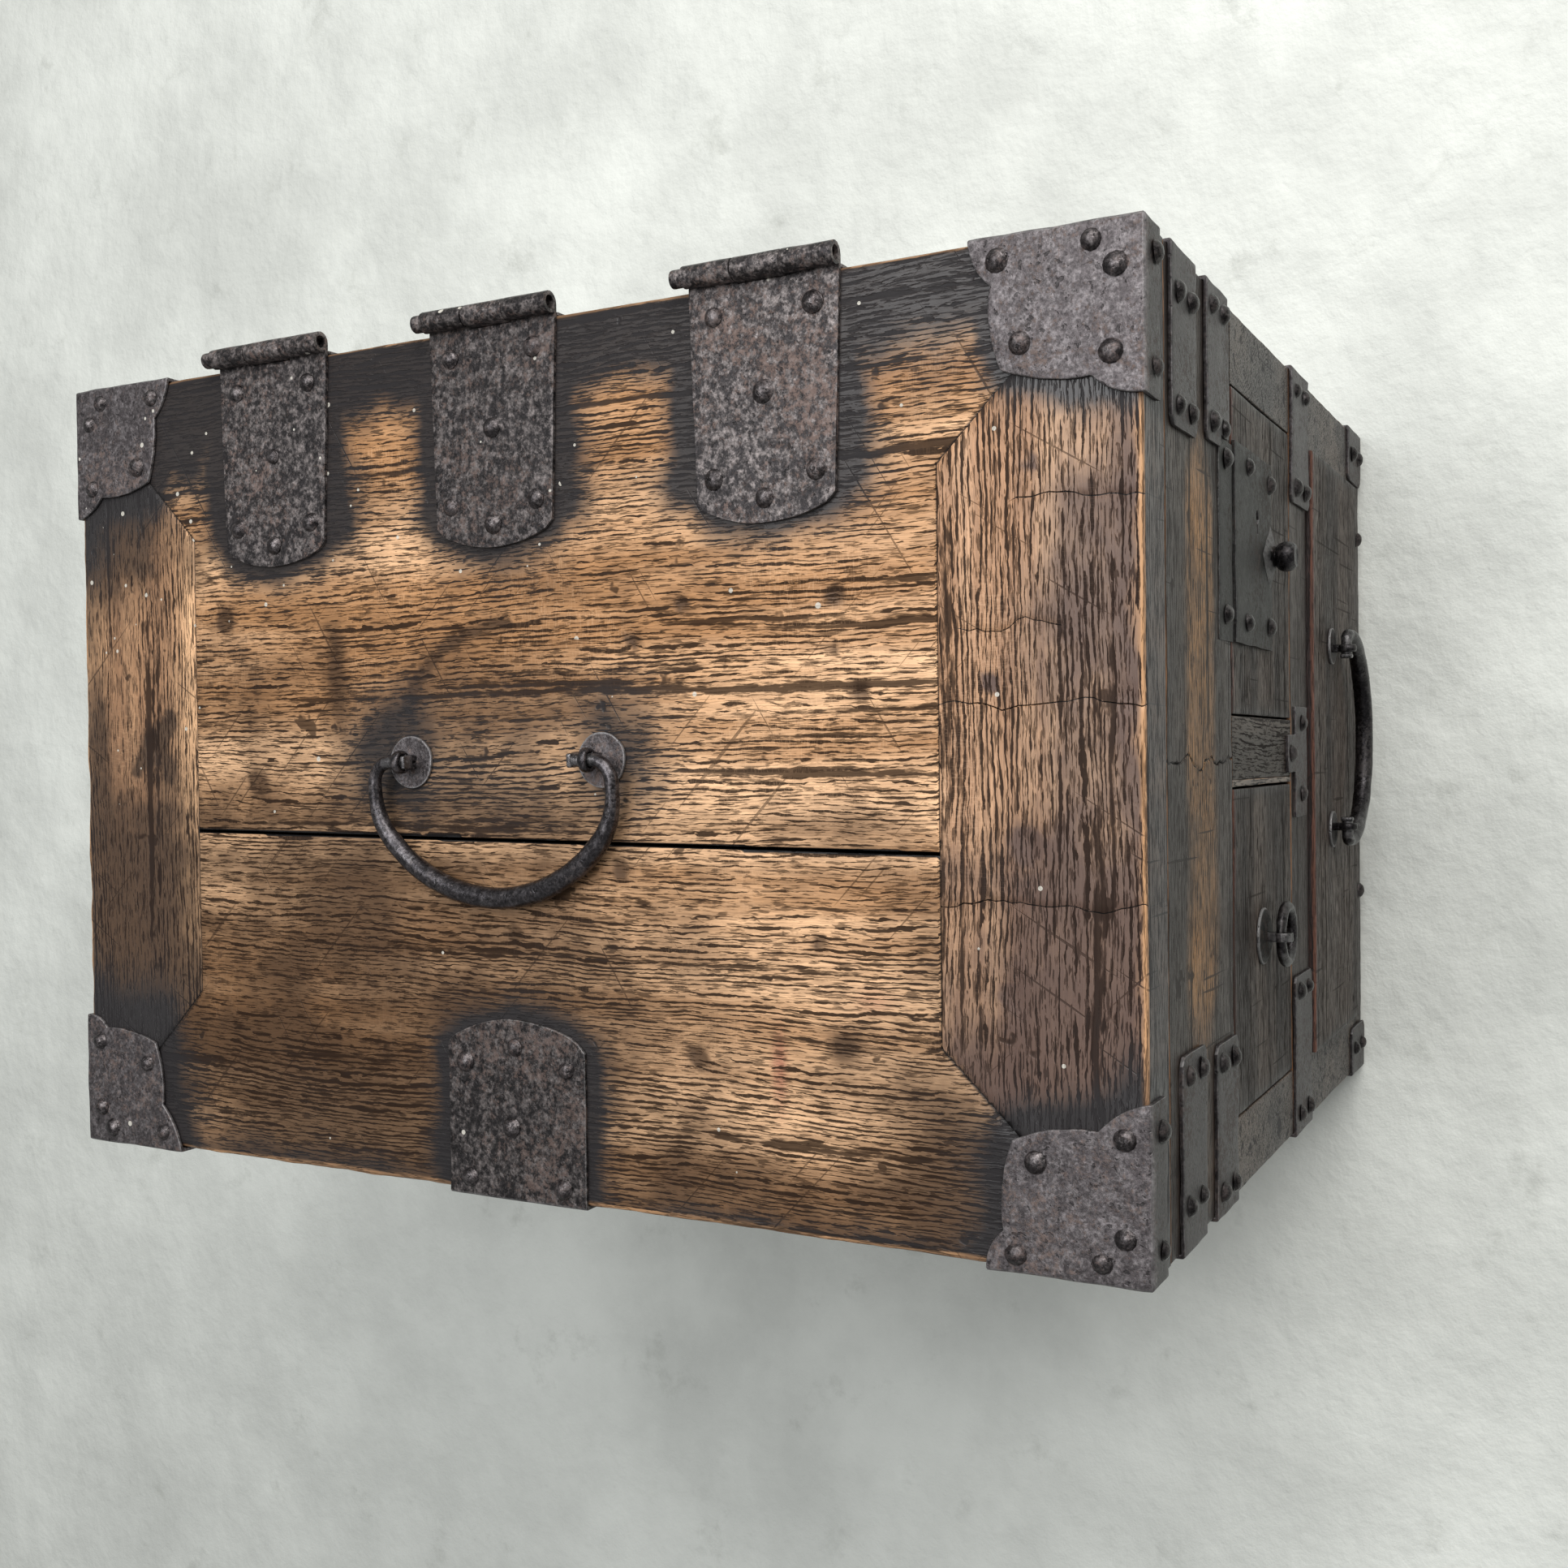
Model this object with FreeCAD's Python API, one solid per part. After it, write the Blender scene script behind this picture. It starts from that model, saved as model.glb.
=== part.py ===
import FreeCAD
import Part
import math
import os
from FreeCAD import Vector

# A ship's chest (funa dansu): a lidded compartment over two small drawers and one wide
# drawer that open at the narrow end.  Millimetres.  X runs across the chest, with the
# lid's hinges on the +X side.  The drawers face -Y.  Z is up, and the origin is on the
# floor under the middle of the case.

# ---- Case: wood --------------------------------------------------------------------
CASE_WIDTH = 330.0
CASE_DEPTH = 479.0
SIDE_T = 28.0
FRONT_T = 22.0            # front board and both rails
BACK_T = 20.0
BASE_RAIL_H = 26.0
LOWER_ROW_H = 122.0       # opening of the wide drawer
MIDDLE_RAIL_H = 39.5
UPPER_ROW_H = 109.0       # opening of the two small drawers
FRONT_BOARD_H = 92.5
BOTTOM_T = 15.0
RUNNER_WIDTH = 24.0       # strips that lift the wide drawer level with the base rail
SHELF_T = 12.0
COMPARTMENT_FLOOR_T = 12.0
DIVIDER_T = 12.0
GROOVE_DEPTH = 8.0        # how far the level boards are let into the sides
STILE_WIDTH = 24.0
STILE_CENTRE_X = 2.0
SHIM_T = 2.6              # thin strip that packs the stile out
ARRIS = 0.9               # softened outer edges of the wood

# ---- Lid: wood ---------------------------------------------------------------------
LID_T = 24.5
BATTEN_WIDTH = 69.0       # mitred end battens
LID_JOINT_FRONT = 32.0    # left of the middle, at the lid's front and back ends
LID_JOINT_BACK = 27.7
LID_JOINT_GAP = 1.2
TONGUE_T = 8.0
TONGUE_LENGTH = 12.0

# ---- Drawers -----------------------------------------------------------------------
DRAWER_FRONT_T = 20.0
DRAWER_SIDE_T = 9.0
DRAWER_BACK_T = 9.0
DRAWER_BOTTOM_T = 7.0
DRAWER_LAP = 10.0         # how far sides and bottom are let into the front
DRAWER_SIDE_GAP = 0.8
DRAWER_TOP_GAP = 1.0
WIDE_DRAWER_TOP_GAP = 1.8
WIDE_DRAWER_PROUD = 2.6   # the wide drawer's front stands out from the rails
DRAWER_SILL_GAP = 0.5     # under the front, over the rail
DRAWER_TAIL_GAP = 9.0     # behind the drawer
DRAWER_SIDE_DROP = 4.0    # sides stand lower than the front

# ---- Iron --------------------------------------------------------------------------
IRON_T = 1.5
STRAP_H = 32.0
RAIL_STRAP_INSET = 1.5    # above and below a rail's strap
BASE_STRAP_TOP = 38.0
BASE_STRAP_LIFT = 1.5
# Reach of each band from its corner and its first nail's distance, from the top down:
# upper, lower, rail, base.  Then how far the lower edges of the upper two are below the rim.
STRAP_REACH = {
    "right": ((58.0, 14.0), (55.0, 7.0), (57.0, 8.0), (26.0, 12.0)),
    "left": ((65.0, 14.5), (61.0, 7.7), (68.0, 7.5), (23.0, 12.0)),
}
STRAP_DROP = {"right": (37.0, 84.0), "left": (43.5, 91.5)}
STRAP_END_NAIL = 7.0
STRAP_NAIL_SHARE = 0.24   # of a band's height, from either edge
STRAP_SIDE_SHIFT = 3.0    # the first nails round the corner stand this much further off
STRAP_CLIP = 2.5
TEE_WIDTH = 48.0
TEE_H = 24.0
TEE_TAB_WIDTH = 16.0
TEE_TAB_RISE = 10.5
TEE_TAB_X = -0.3
TEE_CENTRE_X = -4.0
TEE_DROP = 5.5            # from the rail's top edge down to the cross bar
TEE_NAILS_X = (-18.0, 12.8)

BASE_NAILS_X = (111.5, -73.0)

NAIL_SIDES = 5
NAIL_HEAD_R = 3.3
NAIL_HEAD_H = 2.1
NAIL_CROWN_R = 1.7

# Lid corner plates.  Each outline runs from the side edge to the end edge, as distances
# from the corner across (X) and along (Y) the lid, with a lobe between each two points.
CORNER_OUTLINES = {
    "front_right": ((0.0, 56.7), (14.4, 49.1), (41.5, 46.0), (47.0, 16.0), (53.8, 0.0)),
    "front_left": ((0.0, 53.6), (12.2, 47.7), (41.7, 44.4), (47.0, 16.0), (56.8, 0.0)),
    "back_right": ((0.0, 56.4), (15.1, 47.8), (42.4, 43.2), (46.4, 13.8), (55.1, 0.0)),
    "back_left": ((0.0, 56.8), (17.8, 46.0), (44.5, 41.9), (49.3, 11.4), (54.8, 0.0)),
}
CORNER_LOBES = (1.8, 1.9, 2.0, 1.8)
CORNER_NAILS = {
    "front_right": ((5.0, 15.6), (13.6, 7.8), (6.8, 46.6), (34.0, 39.2), (40.2, 9.5)),
    "front_left": ((5.6, 14.8), (14.1, 7.3), (4.9, 43.4), (35.3, 36.5), (45.2, 7.3)),
    "back_right": ((5.5, 15.0), (14.0, 7.8), (6.5, 46.5), (35.5, 37.0), (42.5, 9.0)),
    "back_left": ((5.5, 15.0), (14.0, 7.8), (6.5, 46.5), (35.5, 37.0), (43.5, 7.5)),
}
CORNER_FLANGE = 17.0
FLANGE_NAILS = (0.16, 0.82)         # shares of the flange's length
FLANGE_NAIL_RISE = 6.0

# Hinges: three, along the +X edge.
HINGE_Y = (-107.5, 9.5, 122.0)
HINGE_WIDTH = 59.0
HINGE_TAPER = 2.5         # each side, towards the inner end
LEAF_REACH = 78.0         # straight part of the leaf on the lid
LEAF_ARCH = 5.5
LEAF_CLIP = 3.0
CASE_LEAF_DROP = 62.0     # straight part of the leaf below the rim
PIN_R = 2.4
PIN_CLEARANCE = 0.05
KNUCKLE_WALL = 1.6
KNUCKLE_GAP = 0.3
KNUCKLE_SIDES = 16
PIN_RECESS = 3.0
PIN_HEAD_R = 3.3
PIN_HEAD_L = 4.5
LEAF_NAILS = ((0.33, 10.5), (-0.33, 10.5), (0.0, 38.5), (0.34, 67.0), (-0.34, 67.0), (0.0, 75.0))

# Lock strap on the lid's -X edge.
LOCK_STRAP_Y = 3.0
LOCK_STRAP_WIDTH = 64.0
LOCK_STRAP_REACH = 60.0
LOCK_STRAP_ARCH = 7.5
LOCK_STRAP_NAILS = ((0.37, 50.0), (-0.37, 50.0), (0.0, 57.0), (0.03, 26.5), (0.34, 5.5), (-0.34, 5.5))

# Swinging handles (bails), with eyes that are driven through and clinched.
EYE_OUTER_R = 4.6
EYE_WIDTH = 3.5
EYE_LEG = 5.0
CLINCH_T = 1.8
CLINCH_LENGTH = 20.0
WASHER_T = 1.3
BAIL_NECK_R = 2.5
BAIL_GRIP_R = 4.2
BAIL_CLEARANCE = 0.1
BAIL_TIP = 5.4
BAIL_TIP_LENGTH = 2.0
BAIL_ARM = 4.0            # straight part between bend and side
ROD_SIDES = 8             # bails and the ring are forged with narrow flats
BAIL_STEPS = 5
WASHER_SIDES = 16
BAIL_SIDE_SHARE = 0.5     # side arc's radius as a share of the widest half
BAIL_REST_GAP = 0.3

LID_BAIL_X = 0.4
LID_BAIL_Y = 7.0
LID_EYE_HALF = 43.8
LID_EYE_STANDOFF = 8.5    # hole above the wood
LID_WASHER_R = 10.3
LID_WASHER_HALF = 44.9
LID_BAIL_HALF = 55.7      # widest, to the middle of the rod
LID_BAIL_DROP = 51.9
LID_BAIL_SLACK = 2.0      # play along the hinge line, each side
LID_BAIL_SLIP = 1.8       # where the bail lies within that play

DRAWER_BAIL_X = 6.8
DRAWER_BAIL_Z = 102.0
DRAWER_EYE_HALF = 42.2
DRAWER_EYE_STANDOFF = 7.2
DRAWER_WASHER_R = 8.6
DRAWER_WASHER_HALF = 43.4
DRAWER_BAIL_HALF = 48.8
DRAWER_BAIL_DROP = 51.5
DRAWER_BAIL_SLACK = 0.8

# Ring pull of the left drawer.
RING_X = -73.0
RING_Z = 246.5
RING_STANDOFF = 7.2
RING_R = 11.0             # to the middle of the rod
RING_ROD_R = 2.4
RING_HOLE_CLEARANCE = 0.25
RING_PLATE_R = 11.3
RING_PLATE_H = 3.0
RING_PLATE_RIM = 0.9
RING_PLATE_FLAT = 5.1
RING_EYE_WALL = 2.0
RING_STEPS = 22

# Lock and knob of the right drawer.
LOCK_OFFSET = 3.3         # right of the middle of the right drawer
LOCK_PLATE_WIDTH = 75.0
LOCK_PLATE_H = 64.5
LOCK_PLATE_TOP_GAP = 0.2
LOCK_NAILS = ((30.6, 22.5), (28.8, 60.0), (-29.0, 19.5), (-28.4, 59.5))   # across, down
KEYHOLE_OFFSET = 13.4     # right of the plate's middle
KEYHOLE_DROP = 38.5
KEYHOLE_R = 2.6
KEYHOLE_TAIL = 6.5
KEYHOLE_TAIL_W = 1.8
LOCK_CASE_WIDTH = 56.0
LOCK_CASE_H = 46.0
LOCK_CASE_DEPTH = 12.0
LOCK_CASE_WALL = 1.5
LOCK_CASE_DROP = 8.0      # below the front's top edge
BOLT_WIDTH = 30.0
BOLT_T = 6.0
BOLT_H = 34.0
BOLT_TRAVEL = 9.0
BOLT_GAP = 0.3
BOLT_TOP_GAP = 0.5
STRIKER_H = 21.0
STRIKER_LIP = 18.0
STRIKER_PROUD = 0.6       # the rest of its thickness is let into the board
STRIKER_LAP = 4.0         # its right end fills a notch in the strap's end
STRIKER_GAP = 0.3
STRIKER_NAILS = (0.13, 0.91)        # shares of its length
MORTISE_SPARE = 2.0
KNOB_DROP = 62.0          # below the top of the small drawers' row
KNOB_R = 6.1
KNOB_HEAD_T = 7.6
KNOB_NECK_R = 2.6
KNOB_STEM = 4.2
KNOB_PLATE_HALF = 13.0
KNOB_PLATE_H = 2.4
KNOB_PLATE_FLAT = 4.2
KNOB_HOLE_GAP = 0.1
KNOB_SIDES = 12

# ---- Levels and faces worked out from the sizes above --------------------------------
HALF_W = CASE_WIDTH / 2.0
HALF_D = CASE_DEPTH / 2.0
FRONT_Y = -HALF_D
BACK_Y = HALF_D
INNER_X = HALF_W - SIDE_T
LOWER_ROW_Z = BASE_RAIL_H
MIDDLE_RAIL_Z = LOWER_ROW_Z + LOWER_ROW_H
UPPER_ROW_Z = MIDDLE_RAIL_Z + MIDDLE_RAIL_H
FRONT_BOARD_Z = UPPER_ROW_Z + UPPER_ROW_H
RIM_Z = FRONT_BOARD_Z + FRONT_BOARD_H
LID_TOP_Z = RIM_Z + LID_T
RAIL_BACK_Y = FRONT_Y + FRONT_T
BACK_INNER_Y = BACK_Y - BACK_T
STILE_RIGHT_X = STILE_CENTRE_X + STILE_WIDTH / 2.0
STILE_LEFT_X = STILE_CENTRE_X - STILE_WIDTH / 2.0
LOCK_X = (STILE_RIGHT_X + INNER_X) / 2.0 + LOCK_OFFSET
KEYHOLE_X = LOCK_X + KEYHOLE_OFFSET
KNUCKLE_R = PIN_R + PIN_CLEARANCE + KNUCKLE_WALL
HINGE_X = HALF_W + KNUCKLE_R
HINGE_Z = LID_TOP_Z + KNUCKLE_R
STRIKER_LOW_X = LOCK_X - LOCK_PLATE_WIDTH / 2.0
STRIKER_HIGH_X = HALF_W - STRAP_REACH["right"][1][0] + STRIKER_LAP
SIGNS = {"right": 1.0, "left": -1.0, "front": -1.0, "back": 1.0}
DOWN = Vector(0, 0, -1)
UP = Vector(0, 0, 1)
FORWARD = Vector(0, -1, 0)


# ---- Small helpers -------------------------------------------------------------------
def box(x0, x1, y0, y1, z0, z1):
    """A box between two corners, given low and high along each axis."""
    return Part.makeBox(x1 - x0, y1 - y0, z1 - z0, Vector(x0, y0, z0))


def fuse(shapes):
    """One solid from several that touch or overlap."""
    whole = shapes[0]
    for shape in shapes[1:]:
        whole = whole.fuse(shape)
    return whole.removeSplitter()


def prism(points, along):
    """A straight prism on a closed outline of 3-D points."""
    return Part.Face(Part.makePolygon(list(points) + [points[0]])).extrude(along)


def bulge(start, end, rise, side):
    """An arc from start to end that bulges by rise towards the direction side."""
    middle = (start + end) * 0.5 + side * rise
    return Part.Arc(start, middle, end).toShape()


def line(start, end):
    """A straight edge."""
    return Part.LineSegment(start, end).toShape()


def polygon(centre, across, up, radius, sides):
    """The corners of a regular polygon in the plane of two unit directions."""
    corners = []
    for step in range(sides):
        turn = 2.0 * math.pi * step / sides
        corners.append(centre + across * (radius * math.cos(turn)) + up * (radius * math.sin(turn)))
    return corners


def flat_faced(outlines, closed):
    """A solid with flat faces from outline to outline, closed into a ring or with two ends."""
    pairs = list(zip(outlines, outlines[1:]))
    ends = [outlines[0], outlines[-1]]
    if closed:
        pairs.append((outlines[-1], outlines[0]))
        ends = []
    faces = [Part.Face(Part.makePolygon(end + [end[0]])) for end in ends]
    for low, high in pairs:
        for index, corner in enumerate(low):
            following = (index + 1) % len(low)
            ring = [corner, low[following], high[following], high[index], corner]
            faces.append(Part.Face(Part.makePolygon(ring)))
    solid = Part.Solid(Part.Shell(faces))
    if solid.Volume < 0:
        solid.reverse()
    return solid


def outline_prism(edges, along):
    """A prism on an outline of lines and arcs in order."""
    return Part.Face(Part.Wire(edges)).extrude(along)


def turned(shape, centre, axis, degrees):
    """A turned copy of a shape."""
    copy = shape.copy()
    copy.rotate(centre, axis, degrees)
    return copy


def mirrored_x(shape, flip):
    """The shape, or its mirror image across X when flip is negative."""
    if flip > 0:
        return shape
    return shape.mirror(Vector(0, 0, 0), Vector(1, 0, 0))


def mirrored_y(shape, flip):
    """The shape, or its mirror image across Y when flip is negative."""
    if flip > 0:
        return shape
    return shape.mirror(Vector(0, 0, 0), Vector(0, 1, 0))


def soft_edged_slab(x0, x1, y0, y1, z0, z1, size):
    """A board whose top edges and upright corners are softened."""
    slab = box(x0, x1, y0, y1, z0, z1)
    soft = []
    for edge in slab.Edges:
        centre = edge.CenterOfMass
        upright = abs(centre.z - (z0 + z1) / 2.0) < 0.01
        if upright or centre.z > z1 - 0.01:
            soft.append(edge)
    return slab.makeChamfer(size, soft)


# ---- Nails ---------------------------------------------------------------------------
def make_nail():
    """The head of a forged nail, standing on the origin along +Z."""
    across = Vector(1, 0, 0)
    along = Vector(0, 1, 0)
    foot = polygon(Vector(0, 0, 0), across, along, NAIL_HEAD_R, NAIL_SIDES)
    crown = polygon(UP * NAIL_HEAD_H, across, along, NAIL_CROWN_R, NAIL_SIDES)
    return flat_faced([foot, crown], False)


NAIL = make_nail()


def nail_at(x, y, z, normal):
    """A nail whose head sits at a point and stands out along the normal."""
    nail = NAIL.copy()
    nail.Placement = FreeCAD.Placement(Vector(x, y, z), FreeCAD.Rotation(UP, normal))
    return nail


# ---- Case boards ---------------------------------------------------------------------
def level_board(thickness, top_z, y0):
    """A board let into both sides, from y0 back to the back board."""
    reach = INNER_X + GROOVE_DEPTH
    return box(-reach, reach, y0, BACK_INNER_Y, top_z - thickness, top_z)


def level_boards():
    """Bottom, shelf and compartment floor."""
    floor_top = FRONT_BOARD_Z + COMPARTMENT_FLOOR_T
    return {
        "bottom_board": level_board(BOTTOM_T, BOTTOM_T, RAIL_BACK_Y),
        "shelf_board": level_board(SHELF_T, UPPER_ROW_Z, RAIL_BACK_Y),
        "compartment_floor": level_board(COMPARTMENT_FLOOR_T, floor_top, RAIL_BACK_Y),
    }


def front_members():
    """The front board and the two rails, which run across both sides."""
    spans = {
        "base_rail": (0.0, LOWER_ROW_Z),
        "middle_rail": (MIDDLE_RAIL_Z, UPPER_ROW_Z),
        "front_board": (FRONT_BOARD_Z, RIM_Z),
    }
    members = {}
    for name, (z0, z1) in spans.items():
        members[name] = box(-HALF_W, HALF_W, FRONT_Y, RAIL_BACK_Y, z0, z1)
    return members


def case_boards():
    """Every wooden piece of the case."""
    levels = level_boards()
    members = front_members()
    cutters = list(levels.values()) + list(members.values())
    boards = dict(levels)
    boards.update(members)
    for name in ("right", "left"):
        side = box(INNER_X, HALF_W, FRONT_Y, BACK_INNER_Y, 0.0, RIM_Z)
        side = mirrored_x(side, SIGNS[name])
        for cutter in cutters:
            side = side.cut(cutter)
        boards["side_board_" + name] = side
    boards["back_board"] = box(-HALF_W, HALF_W, BACK_INNER_Y, BACK_Y, 0.0, RIM_Z)
    boards["centre_stile"] = box(
        STILE_LEFT_X, STILE_RIGHT_X, FRONT_Y, RAIL_BACK_Y, UPPER_ROW_Z, FRONT_BOARD_Z)
    boards["stile_shim"] = box(
        STILE_LEFT_X - SHIM_T, STILE_LEFT_X, FRONT_Y, RAIL_BACK_Y, UPPER_ROW_Z, FRONT_BOARD_Z)
    boards["divider_board"] = box(
        STILE_CENTRE_X - DIVIDER_T / 2.0, STILE_CENTRE_X + DIVIDER_T / 2.0,
        RAIL_BACK_Y, BACK_INNER_Y, UPPER_ROW_Z, FRONT_BOARD_Z)
    boards["front_board"] = boards["front_board"].cut(striker_plate_blank()).cut(bolt_mortise())
    return boards


def drawer_runners():
    """The two strips on the bottom board that carry the wide drawer."""
    runner = box(INNER_X - RUNNER_WIDTH, INNER_X, RAIL_BACK_Y, BACK_INNER_Y, BOTTOM_T, LOWER_ROW_Z)
    return [runner, mirrored_x(runner, -1.0)]


# ---- Corner straps -------------------------------------------------------------------
def corner_strap(z0, z1, reach):
    """A band round the +X, -Y corner of the case, its ends clipped."""
    front = FRONT_Y - IRON_T
    side = HALF_W + IRON_T
    band = prism([
        Vector(HALF_W - reach, front, z0),
        Vector(side, front, z0),
        Vector(side, FRONT_Y + reach, z0),
        Vector(HALF_W, FRONT_Y + reach, z0),
        Vector(HALF_W, FRONT_Y, z0),
        Vector(HALF_W - reach, FRONT_Y, z0),
    ], Vector(0, 0, z1 - z0))
    corner = [e for e in band.Edges if is_edge_at(e, side, front)]
    band = band.makeChamfer(IRON_T * 0.5, corner)
    for level, drop in ((z0, STRAP_CLIP), (z1, -STRAP_CLIP)):
        x_end = HALF_W - reach
        y_end = FRONT_Y + reach
        clip_front = prism([
            Vector(x_end, front, level),
            Vector(x_end + STRAP_CLIP, front, level),
            Vector(x_end, front, level + drop),
        ], Vector(0, IRON_T, 0))
        clip_side = prism([
            Vector(HALF_W, y_end, level),
            Vector(HALF_W, y_end - STRAP_CLIP, level),
            Vector(HALF_W, y_end, level + drop),
        ], Vector(IRON_T, 0, 0))
        band = band.cut(clip_front).cut(clip_side)
    return band


def is_edge_at(edge, x, y):
    """True for an upright edge at x, y."""
    centre = edge.CenterOfMass
    ends = edge.Vertexes
    upright = abs(ends[0].Z - ends[-1].Z) > 1.0
    return upright and abs(centre.x - x) < 0.01 and abs(centre.y - y) < 0.01


def strap_spans(side):
    """Low, high, reach and first nail of each band on one side of the case."""
    levels = [(RIM_Z - drop, RIM_Z - drop + STRAP_H) for drop in STRAP_DROP[side]]
    levels.append((MIDDLE_RAIL_Z + RAIL_STRAP_INSET, UPPER_ROW_Z - RAIL_STRAP_INSET))
    levels.append((BASE_STRAP_LIFT, BASE_STRAP_TOP))
    return [level + reach for level, reach in zip(levels, STRAP_REACH[side])]


def strap_nail_spots(z0, z1, reach, first):
    """Places of the nails on one leg: distance from the corner, and height."""
    low = z0 + (z1 - z0) * STRAP_NAIL_SHARE
    high = z1 - (z1 - z0) * STRAP_NAIL_SHARE
    spots = [(first, high), (first, low)]
    if reach > STRAP_H:
        spots.append((reach - STRAP_END_NAIL, high))
        spots.append((reach - STRAP_END_NAIL, low))
    return spots


def corner_straps(side, end):
    """The bands and the nails at one upright corner of the case."""
    bands = []
    nails = []
    for z0, z1, reach, first in strap_spans(side):
        bands.append(corner_strap(z0, z1, reach))
        for away, height in strap_nail_spots(z0, z1, reach, first):
            nails.append(nail_at(HALF_W - away, FRONT_Y - IRON_T, height, FORWARD))
            spot_y = FRONT_Y + away + (STRAP_SIDE_SHIFT if away == first else 0.0)
            nails.append(nail_at(HALF_W + IRON_T, spot_y, height, Vector(1, 0, 0)))
    placed = []
    for group in (bands, nails):
        flipped = [mirrored_x(shape, SIGNS[side]) for shape in group]
        placed.append([mirrored_y(shape, -SIGNS[end]) for shape in flipped])
    return placed


def tee_strap():
    """The tee-shaped plate that ties the stile to the middle rail."""
    top = UPPER_ROW_Z - TEE_DROP
    half = TEE_WIDTH / 2.0
    tab = TEE_TAB_WIDTH / 2.0
    y = FRONT_Y - IRON_T
    corners = [
        (TEE_CENTRE_X - half, top - TEE_H), (TEE_CENTRE_X + half, top - TEE_H),
        (TEE_CENTRE_X + half, top), (TEE_TAB_X + tab, top),
        (TEE_TAB_X + tab, UPPER_ROW_Z + TEE_TAB_RISE),
        (TEE_TAB_X - tab, UPPER_ROW_Z + TEE_TAB_RISE),
        (TEE_TAB_X - tab, top), (TEE_CENTRE_X - half, top),
    ]
    return prism([Vector(x, y, z) for x, z in corners], Vector(0, IRON_T, 0))


def tee_nails():
    """Three nails: one at each end of the bar and one on the tab."""
    bar_z = UPPER_ROW_Z - TEE_DROP - TEE_H / 2.0
    y = FRONT_Y - IRON_T
    spots = [(x, bar_z) for x in TEE_NAILS_X]
    spots.append((TEE_TAB_X, UPPER_ROW_Z + TEE_TAB_RISE / 2.0))
    return [nail_at(x, y, z, FORWARD) for x, z in spots]


# ---- Lid -----------------------------------------------------------------------------
def lid_pieces():
    """Two boards between two mitred end battens, cut from one slab."""
    slab = soft_edged_slab(-HALF_W, HALF_W, FRONT_Y, BACK_Y, RIM_Z, LID_TOP_Z, ARRIS)
    rise = Vector(0, 0, LID_T)
    inner_x = HALF_W - BATTEN_WIDTH
    inner_y = HALF_D - BATTEN_WIDTH
    half_gap = LID_JOINT_GAP / 2.0
    pieces = {}
    for name in ("front", "back"):
        sign = SIGNS[name]
        outline = [(-HALF_W, sign * HALF_D), (HALF_W, sign * HALF_D),
                   (inner_x, sign * inner_y), (-inner_x, sign * inner_y)]
        batten = slab.common(prism([Vector(x, y, RIM_Z) for x, y in outline], rise))
        pieces["lid_%s_batten" % name] = batten.cut(tongues())
    for name in ("right", "left"):
        sign = SIGNS[name]
        front_x = sign * half_gap - LID_JOINT_FRONT
        back_x = sign * half_gap - LID_JOINT_BACK
        outline = [(sign * HALF_W, -HALF_D), (sign * HALF_W, HALF_D), (sign * inner_x, inner_y),
                   (back_x, inner_y), (front_x, -inner_y), (sign * inner_x, -inner_y)]
        board = slab.common(prism([Vector(x, y, RIM_Z) for x, y in outline], rise))
        reach = inner_y + TONGUE_LENGTH
        tongue_outline = [(sign * inner_x, -reach), (sign * inner_x, reach),
                          (back_x, reach), (front_x, -reach)]
        slice_z = RIM_Z + (LID_T - TONGUE_T) / 2.0
        tongue = prism([Vector(x, y, slice_z) for x, y in tongue_outline], Vector(0, 0, TONGUE_T))
        pieces["lid_board_" + name] = fuse([board, tongue])
    for name in pieces:
        pieces[name] = pieces[name].cut(lid_eye_legs())
    return pieces


def tongues():
    """The room for the boards' tongues, in both battens."""
    inner_x = HALF_W - BATTEN_WIDTH
    reach = HALF_D - BATTEN_WIDTH + TONGUE_LENGTH
    low = RIM_Z + (LID_T - TONGUE_T) / 2.0
    return box(-inner_x, inner_x, -reach, reach, low, low + TONGUE_T)


def corner_plate(outline):
    """A lid corner plate at the +X, -Y corner: a cusped sheet with two folded edges."""
    z = LID_TOP_Z
    corner = Vector(HALF_W, FRONT_Y, z)
    spots = [corner + Vector(-across, along, 0) for across, along in outline]
    sides = (Vector(0, 1, 0), Vector(0, 1, 0), Vector(-1, 0, 0), Vector(-1, 0, 0))
    edges = [line(corner, spots[0])]
    for start, end, lobe, side in zip(spots, spots[1:], CORNER_LOBES, sides):
        edges.append(bulge(start, end, lobe, side))
    edges.append(line(spots[-1], corner))
    sheet = outline_prism(edges, Vector(0, 0, IRON_T))
    side_reach = outline[0][1]
    end_reach = outline[-1][0]
    top = z + IRON_T
    low = top - CORNER_FLANGE
    front = box(HALF_W - end_reach, HALF_W + IRON_T, FRONT_Y - IRON_T, FRONT_Y, low, top)
    side = box(HALF_W, HALF_W + IRON_T, FRONT_Y - IRON_T, FRONT_Y + side_reach, low, top)
    plate = fuse([sheet, front, side])
    outer = []
    for edge in plate.Edges:
        centre = edge.CenterOfMass
        on_front = abs(centre.y - (FRONT_Y - IRON_T)) < 0.01
        on_side = abs(centre.x - (HALF_W + IRON_T)) < 0.01
        on_top = abs(centre.z - top) < 0.01
        if (on_front and on_top) or (on_side and on_top) or (on_front and on_side):
            outer.append(edge)
    return plate.makeChamfer(IRON_T * 0.5, outer)


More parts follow.
